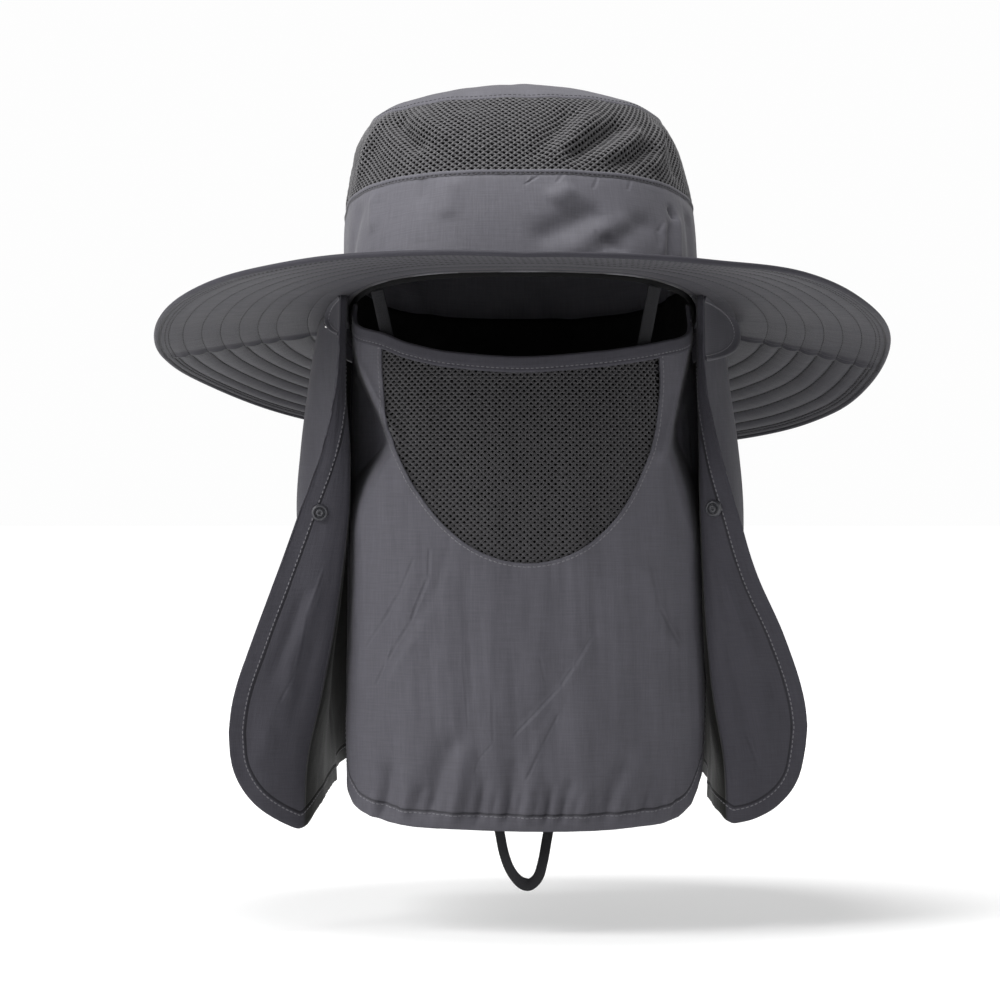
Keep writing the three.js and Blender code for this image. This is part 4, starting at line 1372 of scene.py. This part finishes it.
def mask_along(x):
    """The distance along the mask's cloth at a distance across it."""
    return np.interp(x, MASK_LINE[:, 0], MASK_ALONG)


def window_path(count):
    """The U of the net window on the flattened mask, from the top band down and up again: two short
    sides, and a rounded bottom whose two shares, each raised to its exponent, add up to one. Its
    middle leans to the right with depth."""
    turn = np.linspace(0, np.pi, count)
    across = np.sign(np.cos(turn)) * np.abs(np.cos(turn)) ** (2 / WINDOW["square"])
    deep = np.sin(turn) ** (2 / WINDOW["square"])
    x = WINDOW["middle"] + WINDOW["lean"] * deep - WINDOW["half_width"] * across
    along, z = mask_along(x), WINDOW["level"] - (WINDOW["level"] - WINDOW["bottom"]) * deep
    top = mask_edge("top", along[[0, -1]]) - MASK_BAND
    left = np.stack([np.full(12, along[0]), np.linspace(top[0], z[0], 12)], -1)[:-1]
    right = np.stack([np.full(12, along[-1]), np.linspace(z[-1], top[1], 12)], -1)[1:]
    return np.concatenate([left, np.stack([along, z], -1), right])


def mask_edges():
    """The flattened mask's outline below its top band: down the left side, along the hem and up."""
    bearing = np.linspace(-90, 90, 361)
    along = np.interp(bearing, MASK_BEARINGS, MASK_ALONG)
    bottom = read(MASK_EDGE, "bearing", "bottom", bearing)
    top = read(MASK_EDGE, "bearing", "top", bearing) - MASK_BAND
    down = np.linspace(top[0], bottom[0], 200)[:-1]
    up = np.linspace(bottom[-1], top[-1], 200)[1:]
    left = np.stack([np.full(down.shape, along[0]), down], -1)
    right = np.stack([np.full(up.shape, along[-1]), up], -1)
    return np.concatenate([left, np.stack([along, bottom], -1), right])


def build_panel(sizes, paint, window):
    """The mask's cloth: rings of places that go from the net window out to the mask's outline."""
    cloth = sizes.cloth / MM
    inner, outline = even(window, 421), even(mask_edges(), 421)
    share = np.concatenate([[0, 0.004, 0.012, 0.03], np.linspace(0.05, 0.97, 62), [0.985, 0.995, 1]])[:, None]
    along = inner[:, 0] * (1 - share) + outline[:, 0] * share
    height = inner[:, 1] * (1 - share) + outline[:, 1] * share
    height = np.minimum(height, mask_edge("top", along) - MASK_BAND)
    places = np.stack([along, height], -1)
    from_hem = distance_to(places, even(mask_edges(), 900))
    from_window = distance_to(places, even(window, 700))
    round_off = np.sqrt(np.clip(np.minimum(from_hem, from_window) / 0.6, 0.05, 1))
    half = cloth * 0.5 * round_off + 0.25 * ramp(from_window, 3, 0)
    edge = {"edge": from_hem * MM}
    panel = add_wall("mask_cloth", mask, along, height, half, cloth * 0.5, (along, height), attributes=edge)
    finish_piece(panel, paint["mask"], ["mask_panel"])
    return panel, cloth_area(mask, along, height)


def mask_lining(along, height):
    """A layer 0.6 mm behind the mask's middle layer."""
    points, normal = facing(mask, along, height)
    return points - normal * 0.6


def build_window(sizes, paint, window):
    """The net of the mask's window. It reaches a little past the window's edge, behind the cloth."""
    wide, tall = sizes.net_pitch / MM, sizes.net_row / MM
    left_end, low = window[:, 0].min() - 2, WINDOW["bottom"] - 2
    row, column = np.mgrid[0 : int(110 / tall), 0 : int((window[:, 0].max() + 2 - left_end) / wide)]
    along = left_end + (column + (row % 2) / 2) * wide
    height = low + row * tall
    deep = (WINDOW["level"] - height) / (WINDOW["level"] - WINDOW["bottom"] + WINDOW_OVERLAP)
    middle = WINDOW["middle"] + WINDOW["lean"] * np.clip(deep, 0, 1)
    across = np.abs(np.interp(along, MASK_ALONG, MASK_LINE[:, 0]) - middle)
    across = across / (WINDOW["half_width"] + WINDOW_OVERLAP)
    inside = across ** WINDOW["square"] + np.maximum(deep, 0) ** WINDOW["square"] < 1
    net = add_net(
        "mask_net",
        mask_lining,
        lambda place: left_end + place,
        lambda place: low + place,
        inside & (height < mask_edge("top", along) - MASK_BAND + WINDOW_OVERLAP),
        (wide, tall),
        0.93 * sizes.net_hole / MM,
        0.6,
    )
    return finish_piece(net, paint["window"], ["mask_mesh"])


def build_mask(context):
    """The mask's cloth, net window, folded top band and stitches."""
    sizes, paint = context.scene.hat_sizes, materials(context)
    cloth, pitch = sizes.cloth / MM, sizes.stitch / MM
    window = window_path(600)
    panel, area = build_panel(sizes, paint, window)
    net = build_window(sizes, paint, window)

    band_height = MASK_BAND + 0.3
    along, down = grid(np.linspace(MASK_ALONG[0], MASK_ALONG[-1], 241), np.linspace(0, band_height, 19))
    half = edge_profile(down, -0.02, band_height + 0.02, 1.2, 1.15) - 0.2 * bell(down - BAND_STITCH, 0.7)
    top = mask_edge("top", along)
    band = add_wall("mask_band_cloth", mask_top, along, top - down, half, half, (along, down))
    finish_piece(band, paint["trim"], ["mask_top_band"])

    outer = inset(even(mask_edges(), 800), MASK_STITCH, 1)
    around = inset(even(window, 500), WINDOW_STITCH, -1)
    along = np.linspace(MASK_ALONG[0] + 1, MASK_ALONG[-1] - 1, 500)
    sewn = [
        row_on(mask, *outer.T, cloth / 2, pitch),
        row_on(mask, *around.T, cloth / 2 + 0.2, pitch),
        row_on(mask_top, along, mask_edge("top", along) - BAND_STITCH, 0.95, pitch),
    ]
    thread = finish_piece(add_stitches("mask_stitches", sewn), paint["thread"])
    holder, sewn_on = ["mask_band_cloth"], [thread, net]
    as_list(holder)
    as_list(sewn_on)


# Neck flap


def flap_top(station):
    """Height of the flap's top edge, just under the brim."""
    height = np.zeros(np.shape(station))
    for _ in range(5):
        x, y, _ = np.moveaxis(flap_base(station, height), -1, 0)
        height = under_brim(x, y) - 0.9
    return height


def flap_edge_path():
    """The flap's free edge as stations and heights: down the left front, the hem, and up."""
    corner = np.linspace(0, 0.14, 40)
    station = np.concatenate([corner, np.linspace(0.15, 7.85, 500), 8 - corner[::-1]])
    hem = read(FLAP_HEM, "station", "height", station)
    left = np.stack([np.zeros(60), np.linspace(flap_top(0.0), hem[0], 60)], -1)[:-1]
    right = np.stack([np.full(60, 8.0), np.linspace(hem[-1], flap_top(8.0), 60)], -1)[1:]
    return np.concatenate([left, np.stack([station, hem], -1), right])


def flap_inset(distance, count=900):
    """Stations and heights of a line at a distance in from the flap's free edge. The line is moved
    on the surface itself, by steps that its slopes along the station and the height turn back."""
    path = flap_edge_path()
    points = flap_base(*path.T)
    length = along_path(points)
    place = np.linspace(0, length[-1], count)
    station, height = on_path(path, length, place).T
    _, normal = facing(flap_base, np.clip(station, 0.06, 7.94), height)
    aside = np.cross(normal, heading(on_path(points, length, place))) * distance
    small = 0.02
    middle = np.clip(station, small, 8 - small)
    along = (flap_base(middle + small, height) - flap_base(middle - small, height)) / (2 * small)
    up = flap_base(middle, height + 0.5) - flap_base(middle, height - 0.5)
    a, b, c = np.sum(along * along, -1), np.sum(along * up, -1), np.sum(up * up, -1)
    x, y = np.sum(along * aside, -1), np.sum(up * aside, -1)
    share = a * c - b * b
    return station + (x * c - y * b) / share, height + (y * a - x * b) / share


def build_flap(context):
    """The neck flap, its inner face between its two folds darkened as painted shade, and its hem's
    stitches on both faces.
    """
    sizes, paint = context.scene.hat_sizes, materials(context)
    cloth, pitch = sizes.cloth / MM, sizes.stitch / MM
    front = np.concatenate([[0, 0.01, 0.03], np.linspace(0.06, 1.3, 44)])
    stations = np.concatenate([front, np.linspace(1.34, 6.66, 150), 8 - front[::-1]])
    share = np.concatenate([np.linspace(0, 0.9, 66), 0.9 + 0.1 * np.linspace(0.1, 1, 14) ** 0.8])
    station, share = grid(stations, share)
    top = flap_top(stations)
    height = top + (read(FLAP_HEM, "station", "height", stations) - top) * share
    from_edge = distance_to(flap_base(station, height), flap_base(*flap_edge_path().T))
    half = cloth * 0.5 * np.sqrt(np.clip(from_edge / 0.6, 0.06, 1))
    uv = (station * FLAP_STATION, height)
    # Painted shade: the inner face between the two folds takes the dark "back" colour
    inside = ramp(station, 1, 1.04) * ramp(station, 7, 6.96)
    values = {"edge": from_edge * MM, "back": (inside, 0 * inside)}
    piece = add_wall("neck_flap_cloth", flap, station, height, half, half, uv, attributes=values)
    finish_piece(piece, paint["flap"], ["neck_flap"])
    line = flap_inset(FLAP_STITCH)
    sewn = [row_on(flap, *line, cloth / 2, pitch, side) for side in (1, -1)]
    thread = finish_piece(add_stitches("flap_stitches", sewn), paint["thread"])
    area = cloth_area(flap, station, height)


# Tabs and snaps


def tab_surface(tab):
    """A half round on the flap's own surface, moved outwards, with a raised rim. Its two values are
    the share of its reach and that of its height, in steps of `TAB_STEP`."""

    def surface(p, q):
        inside = np.clip(p * TAB_STEP, 0.005, 0.995)
        upright = 1 - 2 * q * TAB_STEP
        station = tab["start"] + (tab["end"] - tab["start"]) * inside
        high = flap_base(tab["start"], 0.0)
        tall = tab["round"] * np.sqrt(1 - inside**2)
        height = under_brim(high[0], high[1]) - 0.6 - tab["round"] + tall * upright
        points, out = facing(flap_base, station, height)
        from_rim = 1 - np.hypot(inside, tall / tab["round"] * upright)
        away = TAB_STANDOFF + tab["flare"] * inside**2 + 1.3 * bell(from_rim, 0.1)
        points = points - out * away[..., None]
        points[..., 2] = height
        return points

    return surface


def build_tabs(context):
    """The corner tabs with their stitches, and all of the snaps."""
    sizes, paint = context.scene.hat_sizes, materials(context)
    cloth, pitch = sizes.cloth / MM, sizes.stitch / MM
    across, down = grid(np.sin(np.linspace(0.01, 1.52, 44)), np.linspace(0, 1, 28))
    from_rim = 1 - np.hypot(across, np.sqrt(1 - across**2) * (1 - 2 * down))
    turn = np.linspace(0.08, np.pi - 0.08, 80)
    side = 0.84 * np.sin(turn)
    low = 0.5 - 0.42 * np.cos(turn) / np.sqrt(1 - side**2)
    for name, tab in TABS.items():
        surface = tab_surface(tab)
        half = cloth * 0.55 * np.sqrt(np.clip(from_rim * tab["round"] / 0.8, 0.06, 1))
        uv = (across * 30, down * 20)
        piece = add_wall(f"tab_{name}_cloth", surface, across / TAB_STEP, down / TAB_STEP, half, half, uv)
        finish_piece(piece, paint["trim"], [f"tab_{name}"])
        line = (side / TAB_STEP, low / TAB_STEP)
        rows = [row_on(surface, *line, cloth / 2 + 0.1, pitch * 0.8, way, width=0.55) for way in (1, -1)]
        finish_piece(add_stitches(f"tab_{name}_stitches", rows), paint["thread"])
    build_snaps(paint)


def build_snaps(paint):
    """A moulded snap on each turned-out front edge and a plated cap at each corner, both turned from
    a profile."""
    for name, (station, height) in LAPEL_SNAPS.items():
        place, inward = facing(flap, np.array([station]), np.array([height]))
        piece = snap(f"lapel_snap_{name}_moulded", SNAP_PROFILE, 40, place[0] + inward[0] * 0.65, inward[0])
        finish_piece(piece, paint["snap"], [f"lapel_snap_{name}"])
    for name, tab in TABS.items():
        station = np.array([tab["snap"]])
        place, inward = facing(flap_base, station, flap_top(station) - 5)
        piece = snap(f"corner_snap_{name}_plated", CAP_PROFILE, 32, place[0] - inward[0] * 1.05, -inward[0])
        finish_piece(piece, paint["metal"], [f"corner_snap_{name}"])


def snap(name, profile, turns, place, axis):
    """A turned piece whose axis stands on a place."""
    points, faces = lathe(profile, turns)
    if volume(points, faces) < 0:
        faces = faces[:, ::-1]
    piece = add_object(name, set_on(points, place, axis), [faces])
    close_pole(piece)
    return piece


# Chin strap


def strap_path(count):
    """A smooth line through the strap's route: cubic pieces over the distance along it."""
    points = np.stack([STRAP["x"], -STRAP["forward"], STRAP["z"]], -1)
    route = {"s": along_path(points), "x": points[:, 0], "y": points[:, 1], "z": points[:, 2]}
    place = np.linspace(0, route["s"][-1], count)
    return np.stack([read(route, "s", axis, place) for axis in "xyz"], -1)


def build_strap(context):
    """The strap as flat webbing along its route: a rounded section with fine ribs across it."""
    sizes, paint = context.scene.hat_sizes, materials(context)
    width = sizes.strap_width / MM
    path = even(strap_path(900), 1200)
    length = along_path(path)
    ahead = heading(path)
    flat = unit(np.cross(ahead, np.array([0, 1.0, 0])))
    out = np.cross(flat, ahead)
    # Below the mask each leg is twisted by up to 42 degrees, and the loop's lowest part lies flat
    twist = np.radians(42) * ramp(path[:, 2], -150, -210) * np.tanh((path[:, 0] - 1) / 4)
    cos, sin = np.cos(twist)[:, None], np.sin(twist)[:, None]
    flat, out = flat * cos + out * sin, out * cos - flat * sin
    turn = np.linspace(0, 2 * np.pi, 16, endpoint=False)
    across = np.sign(np.cos(turn)) * np.abs(np.cos(turn)) ** 0.6 * width / 2
    thick = np.sign(np.sin(turn)) * np.abs(np.sin(turn)) ** 0.8 * 0.65
    rib = 1 + 0.12 * np.sin(length * 2 * np.pi / 1.3)[:, None]
    points = path[:, None] + flat[:, None] * across[None, :, None] + out[:, None] * (thick * rib)[..., None]
    index = np.arange(points[..., 0].size).reshape(points.shape[:2])
    faces = [quads_of(np.hstack([index, index[:, :1]])), index[:1, ::-1], index[-1:]]
    points = points.reshape(-1, 3)
    if volume(points - points.mean(axis=0), faces[0]) < 0:
        faces = [part[:, ::-1] for part in faces]
    strap = add_object("chin_strap_webbing", points, faces)
    finish_piece(strap, paint["webbing"], ["chin_strap"])


# Stage

# The camera sees 490 mm of width at 2 m, on a sensor 36 mm wide
CAMERA = (-10.8, -2000, -86)
LENS = 36 * 2000 / 490
FLOOR = -291
FLOOR_SIDE = 30000
BACKDROP = 0.985
FILL = 0.15


def area_light(name, place, aim, size, power):
    """A round white lamp of a size in millimetres, turned towards a place."""
    data = bpy.data.lights.new(name, "AREA")
    data.shape = "DISK"
    data.size = size * MM
    data.energy = power
    light = bpy.data.objects.new(name, data)
    light.location = Vector(place) * MM
    light.rotation_mode = "QUATERNION"
    light.rotation_quaternion = (Vector(aim) * MM - light.location).to_track_quat("-Z", "Y")
    bpy.context.scene.collection.objects.link(light)


def build_stage(context):
    """The floor, the world, four lamps and the camera."""
    scene = context.scene
    scene.view_settings.view_transform = "Standard"
    corners = np.array([(-1, -1), (1, -1), (1, 1), (-1, 1)]) * FLOOR_SIDE
    floor = add_object("floor", np.hstack([corners, np.full((4, 1), FLOOR)]), [np.array([[0, 1, 2, 3]])])
    # Painted light: the floor glows by its own emission, which keeps the hat's shadow light and grows
    # to full white where the lamps no longer reach
    glowing_floor, tree, shader = new_material("Opal sheet")
    place = node(tree, "TexCoord").outputs["Object"]
    away = node(tree, "VectorMath", {0: place}, operation="LENGTH").outputs["Value"]
    shader.inputs["Base Color"].default_value = (0.52, 0.52, 0.52, 1)
    shader.inputs["Roughness"].default_value = 0.9
    shader.inputs["Specular IOR Level"].default_value = 0.0
    shader.inputs["Emission Color"].default_value = (1, 1, 1, 1)
    tree.links.new(mapped(tree, away, 0.45, 1.6, 0.5, 0.98), shader.inputs["Emission Strength"])
    floor.data.materials.append(glowing_floor)

    scene.world = bpy.data.worlds.new("Studio")
    scene.world.use_nodes = True
    tree = scene.world.node_tree
    # The backdrop is white where the camera looks, and a dimmer fill light for the hat
    seen = node(tree, "LightPath").outputs["Is Camera Ray"]
    strength = maths(tree, "MULTIPLY_ADD", seen, BACKDROP - FILL, FILL)
    tree.nodes["Background"].inputs[0].default_value = (1, 1, 1, 1)
    tree.links.new(strength, tree.nodes["Background"].inputs[1])

    area_light("Key", (-1700, -1150, 1600), (0, 0, -60), 1800, 74)
    area_light("Overhead", (-150, -350, 2400), (0, 0, 0), 1100, 62)
    area_light("Low left", (-2000, -500, 500), (0, 0, -60), 1200, 12)
    area_light("Right", (1800, -700, 700), (0, 0, -60), 900, 7)

    camera = bpy.data.objects.new("Camera", bpy.data.cameras.new("Camera"))
    camera.location = Vector(CAMERA) * MM
    camera.rotation_euler = (np.pi / 2, 0, 0)
    camera.data.lens = LENS
    camera.data.clip_end = 100
    scene.collection.objects.link(camera)
    scene.camera = camera


# Operators and panel


class HAT_OT_crown(bpy.types.Operator):
    """Builds the crown's top, net, band and sweatband"""

    bl_idname = "hat.crown"
    bl_label = "Build crown"

    def execute(self, context):
        build_crown(context)
        return {"FINISHED"}


class HAT_OT_brim(bpy.types.Operator):
    """Builds the two quilted halves of the brim and their stitches"""

    bl_idname = "hat.brim"
    bl_label = "Build brim"

    def execute(self, context):
        build_brim(context)
        return {"FINISHED"}


class HAT_OT_mask(bpy.types.Operator):
    """Builds the mask's panel, net window and top band"""

    bl_idname = "hat.mask"
    bl_label = "Build mask"

    def execute(self, context):
        build_mask(context)
        return {"FINISHED"}


class HAT_OT_flap(bpy.types.Operator):
    """Builds the neck flap with its turned-out front edges"""

    bl_idname = "hat.flap"
    bl_label = "Build neck flap"

    def execute(self, context):
        build_flap(context)
        return {"FINISHED"}


class HAT_OT_tabs(bpy.types.Operator):
    """Builds the corner tabs and all of the snaps"""

    bl_idname = "hat.tabs"
    bl_label = "Build tabs and snaps"

    def execute(self, context):
        build_tabs(context)
        return {"FINISHED"}


class HAT_OT_strap(bpy.types.Operator):
    """Builds the chin strap"""

    bl_idname = "hat.strap"
    bl_label = "Build chin strap"

    def execute(self, context):
        build_strap(context)
        return {"FINISHED"}


class HAT_OT_stage(bpy.types.Operator):
    """Sets the floor, the lights and the camera"""

    bl_idname = "hat.stage"
    bl_label = "Set stage"

    def execute(self, context):
        build_stage(context)
        return {"FINISHED"}


OPERATORS = (HAT_OT_crown, HAT_OT_brim, HAT_OT_mask, HAT_OT_flap, HAT_OT_tabs, HAT_OT_strap, HAT_OT_stage)


class HAT_PT_panel(bpy.types.Panel):
    """The hat's sizes, colours and pieces"""

    bl_label = "Bucket hat"
    bl_idname = "HAT_PT_panel"
    bl_space_type = "VIEW_3D"
    bl_region_type = "UI"
    bl_category = "Bucket hat"

    def draw(self, context):
        for group in (context.scene.hat_sizes, context.scene.hat_colours):
            box = self.layout.box()
            for name in group.__annotations__:
                box.prop(group, name)
        for operator in OPERATORS:
            self.layout.operator(operator.bl_idname)


CLASSES = (HatSizes, HatColours, *OPERATORS, HAT_PT_panel)


def register():
    """Adds the classes and the two groups of properties of the scene."""
    for item in CLASSES:
        bpy.utils.register_class(item)
    bpy.types.Scene.hat_sizes = PointerProperty(type=HatSizes)
    bpy.types.Scene.hat_colours = PointerProperty(type=HatColours)


def unregister():
    """Takes them away again."""
    del bpy.types.Scene.hat_colours
    del bpy.types.Scene.hat_sizes
    for item in reversed(CLASSES):
        bpy.utils.unregister_class(item)


def main():
    """Builds the hat and its stage."""
    register()
    for operator in OPERATORS:
        group, name = operator.bl_idname.split(".")
        getattr(getattr(bpy.ops, group), name)()


if __name__ == "__main__":
    main()
